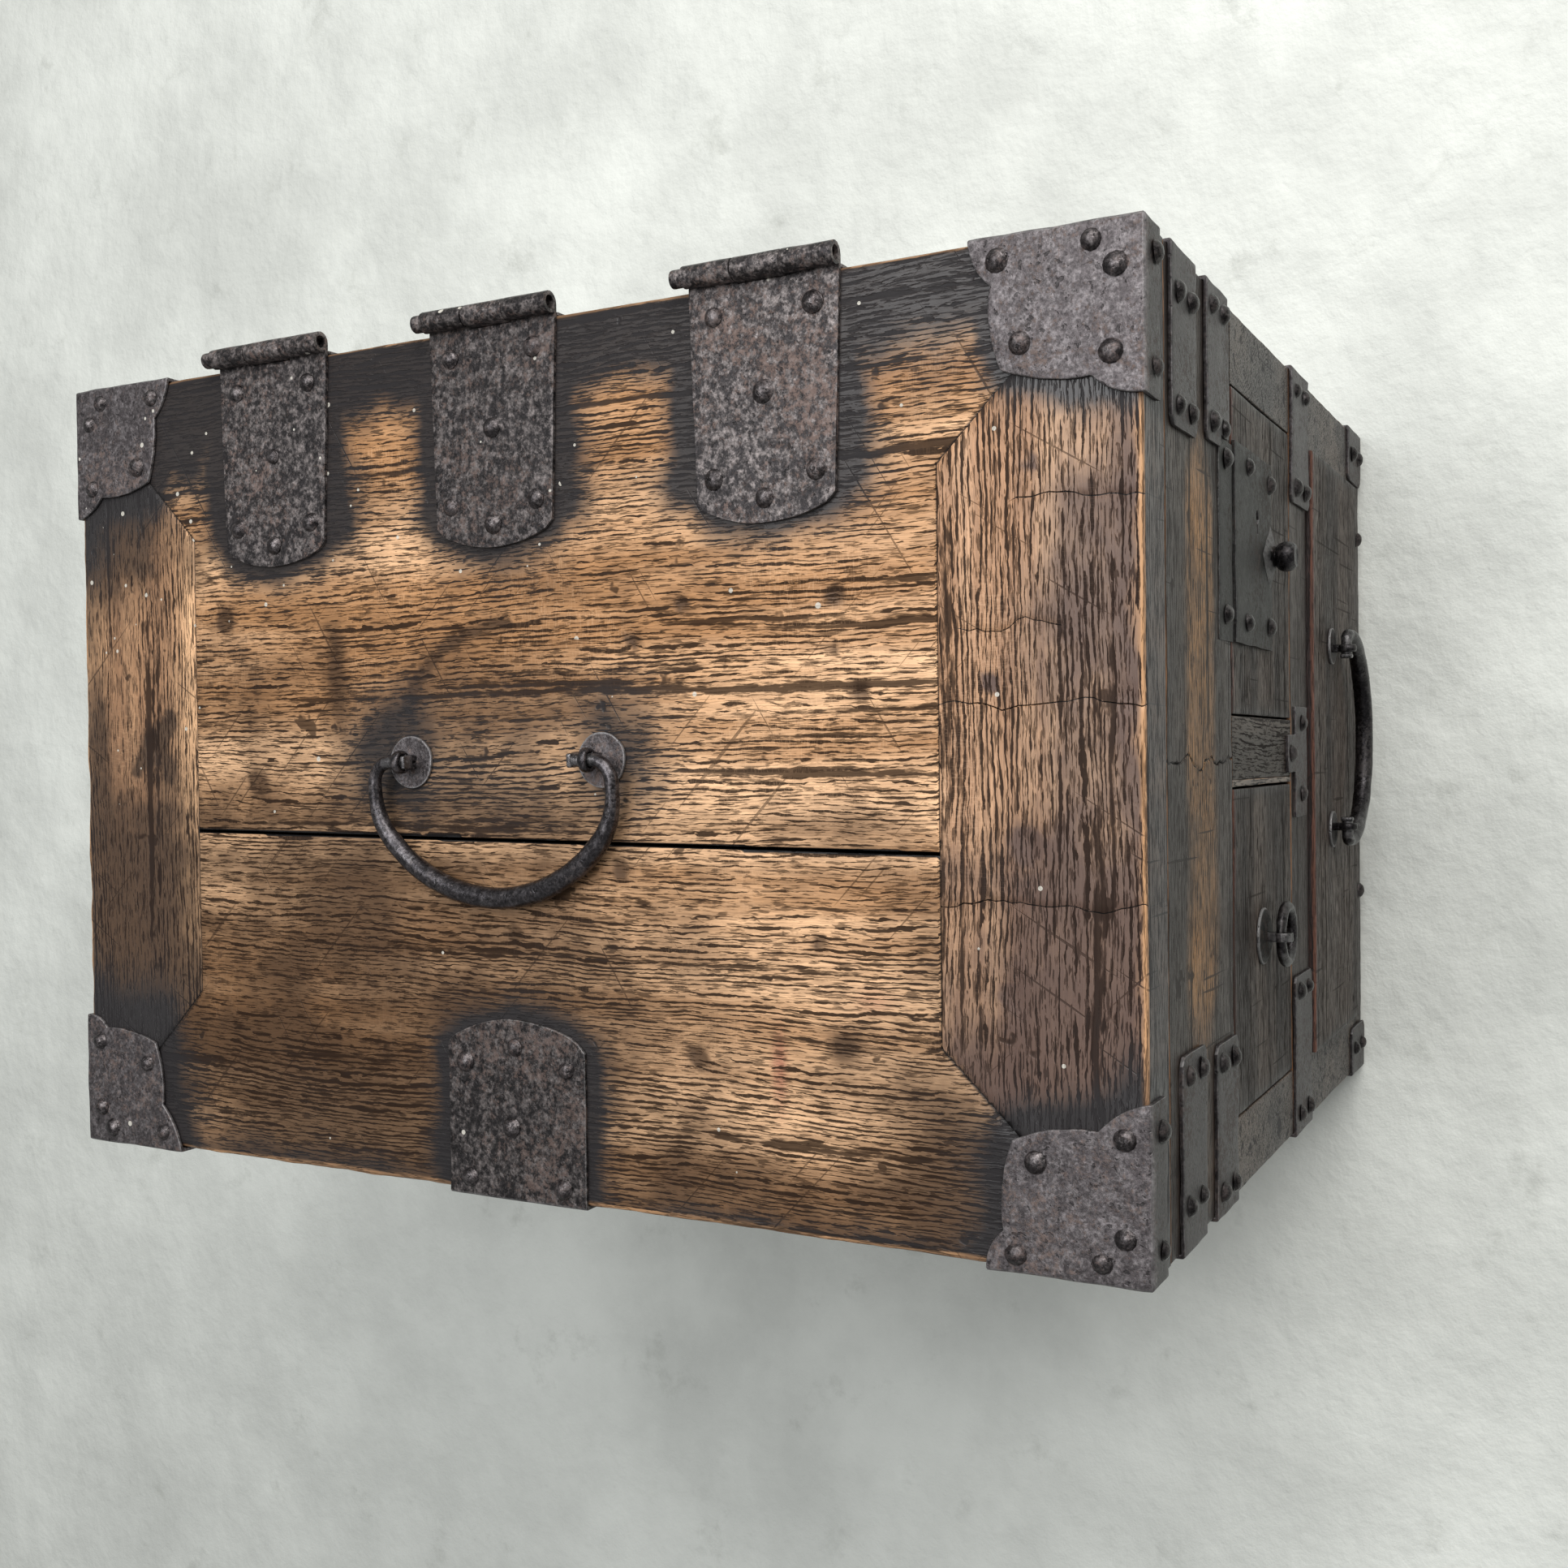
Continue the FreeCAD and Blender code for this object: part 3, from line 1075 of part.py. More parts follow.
# ---- Assembly ------------------------------------------------------------------------
def build():
    """Every node: its name, and the solids in it."""
    nodes = {name: [shape] for name, shape in case_boards().items()}
    nodes["drawer_runners"] = drawer_runners()
    case_nails = []
    for side in ("right", "left"):
        bands, nails = corner_straps(side, "front")
        nodes["front_corner_straps_" + side] = [band.cut(striker_notch()) for band in bands]
        case_nails += nails
    nodes["back_corner_straps"] = []
    for side in ("right", "left"):
        bands, nails = corner_straps(side, "back")
        nodes["back_corner_straps"] += bands
        case_nails += nails
    nodes["rail_tee_strap"] = [tee_strap()]
    case_nails += tee_nails()
    for x in BASE_NAILS_X:
        case_nails.append(nail_at(x, FRONT_Y, BASE_RAIL_H * 0.3, FORWARD))
    nodes["striker_plate"] = [striker_plate_blank().cut(bolt_mortise())]
    for share in STRIKER_NAILS:
        x = STRIKER_LOW_X + share * (STRIKER_HIGH_X - STRIKER_LOW_X)
        case_nails.append(nail_at(x, FRONT_Y - STRIKER_PROUD, FRONT_BOARD_Z + STRIKER_H * 0.5, FORWARD))

    for name, piece in lid_pieces().items():
        nodes[name] = [piece]
    plates, lid_nails = lid_corners()
    for name, plate in plates.items():
        nodes[name] = [plate]
    nodes["lid_lock_strap"] = [lock_strap()]
    lid_nails += lock_strap_nails()
    nodes["hinge_lid_leaves"] = []
    nodes["hinge_case_leaves"] = []
    nodes["hinge_pins"] = []
    for centre_y in HINGE_Y:
        lid_leaf, case_leaf, pin = hinge_parts(centre_y)
        nodes["hinge_lid_leaves"].append(lid_leaf)
        nodes["hinge_case_leaves"].append(case_leaf)
        nodes["hinge_pins"].append(pin)
        on_lid, on_case = hinge_nails(centre_y)
        lid_nails += on_lid
        case_nails += on_case
    nodes["case_nails"] = case_nails
    nodes["lid_nails"] = lid_nails

    swing, eyes, washers = lid_bail_set()
    nodes["lid_bail"] = [swing]
    nodes["lid_bail_eyes"] = eyes
    nodes["lid_bail_washers"] = washers
    bottom_swing, bottom_eyes, bottom_washers = drawer_bail_set()
    nodes["drawer_bail"] = [bottom_swing]
    nodes["drawer_bail_eyes"] = bottom_eyes
    nodes["drawer_bail_washers"] = bottom_washers
    ring, ring_eye, ring_plate = ring_set()
    nodes["ring_pull"] = [ring]
    nodes["ring_eye"] = [ring_eye]
    nodes["ring_plate"] = [ring_plate]

    boxes = drawers()
    right = boxes["right"]
    behind = bolt_slot(FRONT_BOARD_Z - LOCK_CASE_DROP - DRAWER_TOP_GAP, FRONT_BOARD_Z)
    key_way = keyhole(FRONT_Y, FRONT_Y + DRAWER_FRONT_T - LOCK_CASE_DEPTH)
    right["front"] = right["front"].cut(lock_case_room()).cut(behind).cut(key_way)
    right["front"] = right["front"].cut(knob_stem_room())
    boxes["left"]["front"] = boxes["left"]["front"].cut(ring_eye)
    for one in bottom_eyes:
        boxes["bottom"]["front"] = boxes["bottom"]["front"].cut(one)
    for name, pieces in boxes.items():
        nodes[name + "_drawer_front"] = [pieces["front"]]
        nodes[name + "_drawer_sides"] = pieces["sides"]
        nodes[name + "_drawer_back"] = [pieces["back"]]
        nodes[name + "_drawer_bottom"] = [pieces["bottom"]]
    nodes["lock_plate"] = [lock_plate().cut(knob_stem_room())]
    nodes["lock_case"] = [lock_case().cut(knob_stem_room())]
    nodes["lock_bolt"] = [lock_bolt()]
    nodes["lock_plate_nails"] = lock_plate_nails()
    nodes["knob_plate"] = [knob_plate()]
    nodes["knob"] = [knob()]
    return nodes


def write_steps(nodes):
    """One STEP file for each node."""
    os.makedirs("parts", exist_ok=True)
    for name, solids in sorted(nodes.items()):
        shape = solids[0] if len(solids) == 1 else Part.makeCompound(solids)
        shape.exportStep("parts/" + name + ".step")
        volume = sum(solid.Volume for solid in solids) / 1000.0
        print("%-30s %3d solid(s) %9.2f cm3" % (name, len(shape.Solids), volume))


write_steps(build())
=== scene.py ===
import logging
import math
import random
from contextlib import contextmanager
from dataclasses import dataclass, field, replace
from enum import Enum
from typing import Callable, Iterator, Sequence

import bmesh
import bpy
import numpy as np
from mathutils import Matrix, Vector, noise


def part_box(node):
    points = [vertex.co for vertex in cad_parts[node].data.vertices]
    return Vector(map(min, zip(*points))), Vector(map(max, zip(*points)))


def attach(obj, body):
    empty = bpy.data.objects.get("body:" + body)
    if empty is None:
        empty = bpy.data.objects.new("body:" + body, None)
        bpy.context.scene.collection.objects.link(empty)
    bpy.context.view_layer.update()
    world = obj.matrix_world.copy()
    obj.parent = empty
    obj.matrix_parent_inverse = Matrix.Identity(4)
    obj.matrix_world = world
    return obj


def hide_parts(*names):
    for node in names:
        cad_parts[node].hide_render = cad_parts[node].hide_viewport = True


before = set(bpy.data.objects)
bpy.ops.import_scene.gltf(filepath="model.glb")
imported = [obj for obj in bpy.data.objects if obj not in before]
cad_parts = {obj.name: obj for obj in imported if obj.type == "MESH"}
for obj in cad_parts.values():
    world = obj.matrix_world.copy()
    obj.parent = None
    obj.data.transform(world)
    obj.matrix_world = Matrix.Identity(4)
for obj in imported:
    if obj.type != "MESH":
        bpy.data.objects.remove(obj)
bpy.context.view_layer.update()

MM = 0.001
LOG = logging.getLogger("ship_chest")
Piece = bpy.types.Object
Socket = bpy.types.NodeSocket
Pair = tuple[float, float]
Triple = tuple[float, float, float]
Colour = tuple[float, float, float]

# Faces and levels of the chest in millimetres, shared by the sub-assemblies.
HALF_W = 165.0
FRONT_Y = -239.5
BACK_Y = 239.5
RIM_Z = 389.0
LID_TOP = 413.5
BATTEN = 69.0
HINGE_X = 169.05
HINGE_Z = 417.55
HINGE_Y = (-107.5, 9.5, 122.0)

# How far a hinge's rolled barrel reaches from its pin.
BARREL_REACH = 5.2
# How far the drawers' bottoms are clear of the wood under them, and the runners' width.
BOTTOM_PLAY = 0.25
RUNNER_WIDTH = 24.0
# The distance between the grid lines of boards that are hardly seen.
INNER_CELL = 9.0
# Pockets behind the lock: two in the front board, then two in the drawer front.
BOLT_MORTISE = ((63.3, -229.0, 296.0), (94.3, -222.0, 306.6))
STRIKER_RECESS = ((41.2, -241.0, 296.0), (114.1, -221.4, 298.1))
LOCK_POCKET = ((50.6, -231.7, 241.3), (107.0, -219.0, 287.7))
BOLT_SLOT = ((63.3, -229.0, 287.0), (94.3, -222.0, 297.0))
# How much darker the iron on the front is painted: painted shade, as the front faces away from the
# light. Then colours that finishes share.
FRONT_SHADE = 0.62
PALE_FLECK = (0.60, 0.57, 0.50)
# DEEP_GAP is the near black of splits, and painted shade in the lid's open seam and the keyhole.
DEEP_GAP = (0.008, 0.007, 0.007)
IRON_PIT = (0.012, 0.011, 0.011)
# Edges flatter than this many degrees are shaded smooth.
SHEET_ANGLE = 35.0
WOOD_ANGLE = 40.0
ROD_ANGLE = 50.0
NAIL_ANGLE = 60.0


# ---- Working by hand -------------------------------------------------------------------
def deselect() -> None:
    """Goes back to object mode with nothing selected."""
    if bpy.context.object and bpy.context.object.mode != "OBJECT":
        bpy.ops.object.mode_set(mode="OBJECT")
    bpy.ops.object.select_all(action="DESELECT")


def hold(obj: Piece) -> None:
    """Makes one object the only selected and the active one."""
    deselect()
    obj.select_set(True)
    bpy.context.view_layer.objects.active = obj


def settle(obj: Piece) -> None:
    """Moves an object's place, turn and size into its mesh."""
    hold(obj)
    bpy.ops.object.transform_apply(location=True, rotation=True, scale=True)


@contextmanager
def editing(obj: Piece) -> Iterator[bmesh.types.BMesh]:
    """Opens an object in edit mode, on faces, with nothing selected.

    Args:
        obj: the mesh object to edit.

    Returns:
        The mesh under edit, for choosing faces and edges by place or normal.
    """
    hold(obj)
    bpy.ops.object.mode_set(mode="EDIT")
    bpy.ops.mesh.select_mode(type="FACE")
    bpy.ops.mesh.select_all(action="DESELECT")
    yield bmesh.from_edit_mesh(obj.data)
    bpy.ops.object.mode_set(mode="OBJECT")


def pick_faces(mesh: bmesh.types.BMesh, test: Callable[[Vector, Vector], bool]) -> None:
    """Selects the faces of a mesh under edit that pass a test.

    Args:
        mesh: the mesh under edit.
        test: says yes or no from a face's middle in millimetres and its normal.
    """
    for face in mesh.faces:
        face.select_set(bool(test(face.calc_center_median() / MM, face.normal)))


def saw(obj: Piece, axis: int, places: Sequence[float]) -> None:
    """Cuts new edge lines right through a mesh, square to an axis.

    Args:
        obj: the mesh object.
        axis: 0, 1 or 2 for X, Y or Z.
        places: where to cut, in millimetres.
    """
    normal = [0.0, 0.0, 0.0]
    normal[axis] = 1.0
    with editing(obj):
        for place in places:
            point = [0.0, 0.0, 0.0]
            point[axis] = place * MM
            bpy.ops.mesh.select_all(action="SELECT")
            bpy.ops.mesh.bisect(plane_co=point, plane_no=normal)


def saw_between(obj: Piece, axis: int, step: float) -> None:
    """Cuts edge lines through a mesh at an even step over its whole length.

    Args:
        obj: the mesh object.
        axis: 0, 1 or 2 for X, Y or Z.
        step: the wanted distance between lines, in millimetres.
    """
    points = read_mm(obj)[:, axis]
    low, high = float(points.min()), float(points.max())
    count = int((high - low) / step)
    if count > 1:
        saw(obj, axis, [low + (high - low) * k / count for k in range(1, count)])


def modify(obj: Piece, kind: str, **settings: object) -> None:
    """Adds a modifier with its settings and applies it.

    Args:
        obj: the mesh object.
        kind: Blender's name of the modifier.
        settings: its values.
    """
    hold(obj)
    modifier = obj.modifiers.new(kind.title(), kind)
    for key, value in settings.items():
        setattr(modifier, key, value)
    bpy.ops.object.modifier_apply(modifier=modifier.name)


def join(pieces: Sequence[Piece], name: str) -> Piece:
    """Joins objects into one.

    Args:
        pieces: the objects, the first of which stays.
        name: the name of the result.

    Returns:
        The joined object.
    """
    hold(pieces[0])
    for piece in pieces[1:]:
        piece.select_set(True)
    if len(pieces) > 1:
        bpy.ops.object.join()
    pieces[0].name = name
    return pieces[0]


def duplicate(master: Piece, matrix: Matrix) -> Piece:
    """A copy with its own mesh, at a place.

    Args:
        master: what is copied.
        matrix: the copy's place, turn and size in metres.

    Returns:
        The copy.
    """
    copy = master.copy()
    copy.data = master.data.copy()
    copy.matrix_world = matrix
    bpy.context.scene.collection.objects.link(copy)
    return copy


def added(scale: Sequence[float] = (1.0, 1.0, 1.0)) -> Piece:
    """The piece that was just added, with its size set and everything applied."""
    piece = bpy.context.object
    piece.scale = scale
    settle(piece)
    return piece


def pull(items: bpy.types.bpy_prop_collection, key: str, width: int = 1,
         kind: type = np.float32) -> np.ndarray:
    """One property of every item in a collection.

    Args:
        items: the collection, such as a mesh's vertices.
        key: the property's name.
        width: how many numbers it has.
        kind: the type of its numbers.

    Returns:
        The numbers, in rows where there is more than one to an item.
    """
    flat = np.empty(len(items) * width, dtype=kind)
    items.foreach_get(key, flat)
    return flat.reshape(-1, width) if width > 1 else flat


def read_mm(obj: Piece) -> np.ndarray:
    """The vertices of a mesh in millimetres, one row each."""
    return pull(obj.data.vertices, "co", 3).astype(float) / MM


def write_mm(obj: Piece, points: np.ndarray) -> None:
    """Puts the vertices of a mesh at points in millimetres."""
    obj.data.vertices.foreach_set("co", (points * MM).astype(np.float32).ravel())
    obj.data.update()


def paint(obj: Piece, name: str, values: np.ndarray) -> None:
    """Stores one number for each vertex, for the materials to read.

    Args:
        obj: the mesh object.
        name: the attribute's name.
        values: the numbers.
    """
    layer = obj.data.attributes.get(name) or obj.data.attributes.new(name, "FLOAT", "POINT")
    layer.data.foreach_set("value", np.clip(values, 0.0, 1.0).astype(np.float32))


def painted(obj: Piece, name: str) -> np.ndarray:
    """The numbers that are stored with the vertices under a name."""
    return pull(obj.data.attributes[name].data, "value")


def rough(points: np.ndarray, size: float, seed: float = 0.0) -> np.ndarray:
    """Smooth random numbers from about -1 to 1.

    Args:
        points: where, in millimetres.
        size: the width of a lump, in millimetres.
        seed: another number gives other lumps.

    Returns:
        One number for each point.
    """
    scaled = (points / size + seed).tolist()
    return np.array([noise.noise(point) for point in scaled]) * 1.6


def normals_of(obj: Piece) -> np.ndarray:
    """The normals of a mesh's vertices, one row each."""
    return pull(obj.data.vertices, "normal", 3).astype(float)


def outside_distance(points: np.ndarray, outline: Sequence[Pair]) -> np.ndarray:
    """How far points in a plane are outside an outline.

    Args:
        points: one row of two numbers each.
        outline: the corners in order.

    Returns:
        The distances, zero inside.
    """
    starts = np.array(outline, dtype=float)
    spans = np.roll(starts, -1, axis=0) - starts
    offsets = points[:, None, :] - starts[None]
    share = np.clip((offsets * spans).sum(-1) / (spans * spans).sum(-1), 0.0, 1.0)
    nearest = np.linalg.norm(offsets - share[..., None] * spans, axis=-1).min(axis=1)
    inside = np.zeros(len(points), dtype=bool)
    x, y = points[:, 0], points[:, 1]
    for (x0, y0), (dx, dy) in zip(starts, spans):
        crosses = (y0 > y) != (y0 + dy > y)
        inside ^= crosses & (x < x0 + dx * (y - y0) / (dy if dy else 1.0))
    return np.where(inside, 0.0, nearest)


def ramp(values: np.ndarray, start: float, length: float) -> np.ndarray:
    """A straight rise from 0 at start to 1 after a length."""
    return np.clip((values - start) / length, 0.0, 1.0)


def patch(x: np.ndarray, y: np.ndarray, centre: Pair, half: Pair, power: float = 2.0) -> np.ndarray:
    """An oval patch that fades outward.

    Args:
        x: the first numbers of the points.
        y: the second numbers.
        centre: the patch's middle.
        half: its half width and half height.
        power: how sharply it ends.

    Returns:
        1 in the middle, falling to 0.
    """
    return np.exp(-np.hypot((x - centre[0]) / half[0], (y - centre[1]) / half[1]) ** power)


def swell(obj: Piece, *layers: Triple) -> None:
    """Roughens a surface along its normals.

    Args:
        obj: the mesh object.
        layers: the height, the width and the seed of each layer of lumps.
    """
    points = read_mm(obj)
    push = sum(height * rough(points, size, seed) for height, size, seed in layers)
    write_mm(obj, points + normals_of(obj) * push[:, None])


def hand_over(obj: Piece, finish: "Finish", body: str, slot: str, *nodes: str,
              smooth: float = WOOD_ANGLE) -> None:
    """Shades a finished piece, gives it its material and ties it to the frame.

    Args:
        obj: the finished piece, under its own name.
        finish: its finish.
        body: the CAD body that it moves with.
        slot: the record's material slot. It is not used.
        nodes: the CAD nodes that it stands for.
        smooth: edges flatter than this many degrees are shaded smooth.
    """
    obj.data.name = obj.name
    # Pieces without a shade of their own get the front's painted shade.
    if "shade" not in obj.data.attributes:
        paint(obj, "shade", front_shade(read_mm(obj)))
    hold(obj)
    bpy.ops.object.shade_smooth_by_angle(angle=math.radians(smooth))
    obj.data.materials.clear()
    obj.data.materials.append(finish.material())
    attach(obj, body)
    if nodes:
        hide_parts(*nodes)
    LOG.info("%s: %d faces on %s", obj.name, len(obj.data.polygons), body)


# ---- Node groups and finishes ------------------------------------------------------------
class Desk:
    """A node tree with short ways to add and link nodes."""

    def __init__(self, tree: bpy.types.NodeTree) -> None:
        """Keeps the tree that is worked on."""
        self.tree = tree

    def add(self, kind: str, inputs: dict[str | int, object] | None = None,
            **settings: object) -> bpy.types.Node:
        """Adds a node.

        Args:
            kind: the node's type.
            inputs: values, or sockets to link, by input name or number.
            settings: the node's own settings.

        Returns:
            The node.
        """
        node = self.tree.nodes.new(kind)
        for key, value in settings.items():
            setattr(node, key, value)
        for key, value in (inputs or {}).items():
            self.feed(node.inputs[key], value)
        return node

    def feed(self, socket: Socket, value: object) -> None:
        """Links a socket to an input, or sets its value."""
        if isinstance(value, Socket):
            self.tree.links.new(value, socket)
        elif isinstance(value, tuple) and len(value) == 3 and socket.type == "RGBA":
            socket.default_value = (*value, 1.0)
        else:
            socket.default_value = value

    def sum_up(self, operation: str, first: object, second: object = 0.0,
               third: object = 0.0, clamp: bool = False) -> Socket:
        """The result of a Math node.

        Args:
            operation: what it does.
            first: the first number or socket.
            second: the second.
            third: the third, where the operation has one.
            clamp: keeps the result from 0 to 1.

        Returns:
            The socket with the result.
        """
        node = self.add("ShaderNodeMath", operation=operation, use_clamp=clamp)
        for socket, value in zip(node.inputs, (first, second, third)):
            self.feed(socket, value)
        return node.outputs[0]

    def scaled(self, value: object, by: object, plus: object = None,
               clamp: bool = False) -> Socket:
        """A value times another, with a third added where it is given."""
        if plus is None:
            return self.sum_up("MULTIPLY", value, by, clamp=clamp)
        return self.sum_up("MULTIPLY_ADD", value, by, plus, clamp)

    def blend(self, share: object, first: object, second: object,
              kind: str = "MIX") -> Socket:
        """Mixes two colours.

        Args:
            share: how much of the second.
            first: the first colour.
            second: the second colour.
            kind: the blending mode.

        Returns:
            The socket with the mixed colour.
        """
        node = self.add("ShaderNodeMix", data_type="RGBA", blend_type=kind, clamp_factor=True)
        self.feed(node.inputs[0], share)
        self.feed(node.inputs[6], first)
        self.feed(node.inputs[7], second)
        return node.outputs[2]

    def noise(self, vector: object, scale: float, detail: float = 2.0,
              roughness: float = 0.5) -> Socket:
        """Noise on a vector, from 0 to 1."""
        inputs = {"Vector": vector, "Scale": scale, "Detail": detail, "Roughness": roughness}
        return self.add("ShaderNodeTexNoise", inputs).outputs["Fac"]

    def stretch(self, vector: object, by: Triple) -> Socket:
        """A vector multiplied by three numbers."""
        return self.add("ShaderNodeVectorMath", {0: vector, 1: by}, operation="MULTIPLY").outputs[0]

    def step(self, value: object, low: object, high: object) -> Socket:
        """A soft step from 0 below low to 1 above high."""
        inputs = {"Value": value, "From Min": low, "From Max": high}
        return self.add("ShaderNodeMapRange", inputs, interpolation_type="SMOOTHSTEP").outputs[0]

    def attribute(self, name: str) -> Socket:
        """A number stored with the vertices."""
        return self.add("ShaderNodeAttribute", attribute_name=name).outputs["Fac"]

    def surface(self, colour: object, dull: object, height: object, relief: float,
                strength: float = 0.9) -> bpy.types.Node:
        """Ends a material with a bump, its surface and the output.

        Args:
            colour: the colour.
            dull: the roughness.
            height: the height of the bumps, from 0 to 1.
            relief: how high 1 is, in metres.
            strength: how strongly the bumps show.

        Returns:
            The surface's node, for its other inputs.
        """
        bump = self.add("ShaderNodeBump", {"Height": height, "Distance": relief,
                                           "Strength": strength})
        shader = self.add("ShaderNodeBsdfPrincipled", {"Base Color": colour, "Roughness": dull,
                                                       "Normal": bump.outputs["Normal"]})
        self.add("ShaderNodeOutputMaterial", {"Surface": shader.outputs[0]})
        return shader


def new_group(name: str, inputs: Sequence[str], outputs: Sequence[str]
              ) -> tuple[Desk, bpy.types.Node, bpy.types.Node]:
    """Starts a shader node group.

    Args:
        name: its name.
        inputs: its inputs. Vector is a vector, and the others are numbers.
        outputs: its outputs, all numbers.

    Returns:
        The desk on its tree, its input node and its output node.
    """
    tree = bpy.data.node_groups.new(name, "ShaderNodeTree")
    for item in inputs:
        kind = "NodeSocketVector" if item == "Vector" else "NodeSocketFloat"
        tree.interface.new_socket(item, in_out="INPUT", socket_type=kind)
    for item in outputs:
        tree.interface.new_socket(item, in_out="OUTPUT", socket_type="NodeSocketFloat")
    desk = Desk(tree)
    return desk, desk.add("NodeGroupInput"), desk.add("NodeGroupOutput")


def grain_group() -> bpy.types.NodeTree:
    """Open-pored grain that runs along Y: rows of pores, dark streaks, fibre, figure and craze.

    Returns:
        The group.
    """
    name = "keyaki_grain"
    if name in bpy.data.node_groups:
        return bpy.data.node_groups[name]
    desk, given, result = new_group(name, ("Vector", "Density"),
                                    ("Pores", "Streaks", "Fibre", "Figure", "Craze"))
    place = given.outputs["Vector"]
    bend = place
    for size, detail, push in (((9.0, 4.0, 9.0), 2.0, 0.009), ((70.0, 45.0, 70.0), 1.0, 0.0012),
                               ((420.0, 190.0, 420.0), 1.0, 0.0007)):
        waves = desk.add("ShaderNodeTexNoise", {"Vector": desk.stretch(place, size),
                                                "Scale": 1.0, "Detail": detail})
        bend = desk.add("ShaderNodeVectorMath", {0: waves.outputs["Color"], 1: (push, 0.0, push),
                                                 2: bend}, operation="MULTIPLY_ADD").outputs[0]
    rings = desk.noise(desk.stretch(bend, (48.0, 3.0, 48.0)), 1.0, 2.0)
    parts = desk.add("ShaderNodeSeparateXYZ", {0: bend}).outputs
    across = desk.sum_up("ADD", parts[0], parts[2])
    knots = desk.noise(desk.stretch(bend, (125.0, 10.0, 125.0)), 1.0, 2.0)
    bulge = desk.scaled(rings, 6.0, desk.scaled(knots, 2.6))
    phase = desk.scaled(across, 465.0, bulge)
    core = desk.sum_up("PINGPONG", phase, 0.5)
    dashes = desk.noise(desk.stretch(bend, (540.0, 92.0, 540.0)), 1.0, 3.0, 0.6)
    lines = desk.scaled(core, 0.95, dashes)
    limit = desk.scaled(rings, -0.42, 1.262)
    limit = desk.scaled(knots, -0.38, limit)
    limit = desk.sum_up("SUBTRACT", limit, given.outputs["Density"])
    lines = desk.step(lines, limit, desk.sum_up("ADD", limit, 0.06))
    fine = desk.noise(desk.stretch(bend, (1500.0, 130.0, 1500.0)), 1.0, 2.0)
    fine = desk.step(fine, 0.545, 0.61)
    marks = desk.sum_up("MAXIMUM", lines, desk.scaled(fine, 0.72))
    craze = desk.noise(desk.stretch(place, (140.0, 820.0, 140.0)), 1.0, 1.0)
    craze = desk.sum_up("ABSOLUTE", desk.sum_up("SUBTRACT", craze, 0.5))
    craze = desk.sum_up("SUBTRACT", 1.0, desk.step(craze, 0.012, 0.045))
    where = desk.step(desk.noise(desk.stretch(place, (26.0, 17.0, 26.0)), 1.0, 2.0), 0.46, 0.60)
    craze = desk.scaled(craze, where)
    kept = desk.scaled(craze, -0.12, 1.0)
    desk.feed(result.inputs["Pores"], desk.scaled(marks, kept))
    long_marks = desk.noise(desk.stretch(bend, (185.0, 3.6, 185.0)), 1.0, 2.0, 0.55)
    ragged = desk.scaled(desk.sum_up("SUBTRACT", dashes, 0.5), 0.30, long_marks)
    streak = desk.step(ragged, 0.608, 0.668)
    desk.feed(result.inputs["Streaks"], streak)
    fibre = desk.noise(desk.stretch(bend, (1900.0, 45.0, 1900.0)), 1.0, 3.0)
    figure = desk.noise(desk.stretch(bend, (30.0, 2.4, 30.0)), 1.0, 4.0, 0.6)
    desk.feed(result.inputs["Fibre"], fibre)
    desk.feed(result.inputs["Figure"], figure)
    desk.feed(result.inputs["Craze"], craze)
    return desk.tree


def age_group() -> bpy.types.NodeTree:
    """What age leaves on wood: blotches, dark dints, cross cuts and pale specks.

    Returns:
        The group.
    """
    name = "age_marks"
    if name in bpy.data.node_groups:
        return bpy.data.node_groups[name]
    desk, given, result = new_group(name, ("Vector", "Spray"),
                                    ("Blotches", "Dints", "Scratches", "Specks"))
    place = given.outputs["Vector"]
    desk.feed(result.inputs["Blotches"], desk.noise(place, 17.0, 5.0, 0.62))
    lumps = desk.noise(place, 62.0, 3.0, 0.6)
    desk.feed(result.inputs["Dints"], desk.step(lumps, 0.672, 0.715))
    scratches = 0.0
    for turn, count in ((0.75, 11.0), (-0.55, 14.0)):
        turned = desk.add("ShaderNodeMapping", {"Vector": place, "Rotation": (0.0, 0.0, turn)})
        line = desk.noise(desk.stretch(turned.outputs[0], (count, 560.0, count)), 1.0, 1.0)
        line = desk.step(line, 0.725, 0.765)
        scratches = desk.sum_up("MAXIMUM", line, scratches)
    desk.feed(result.inputs["Scratches"], scratches)
    cells = desk.add("ShaderNodeTexVoronoi", {"Vector": place, "Scale": 140.0})
    chosen = desk.step(desk.noise(place, 11.0, 2.0), 0.60, 0.72)
    chosen = desk.scaled(chosen, 0.12)
    chosen = desk.scaled(given.outputs["Spray"], 0.9, chosen)
    drawn = desk.add("ShaderNodeSeparateXYZ", {0: cells.outputs["Color"]}).outputs
    size = desk.scaled(drawn[1], 0.11, 0.05)
    dot = desk.sum_up("LESS_THAN", cells.outputs["Distance"], size)
    dot = desk.scaled(dot, desk.sum_up("LESS_THAN", drawn[0], chosen))
    desk.feed(result.inputs["Specks"], dot)
    return desk.tree


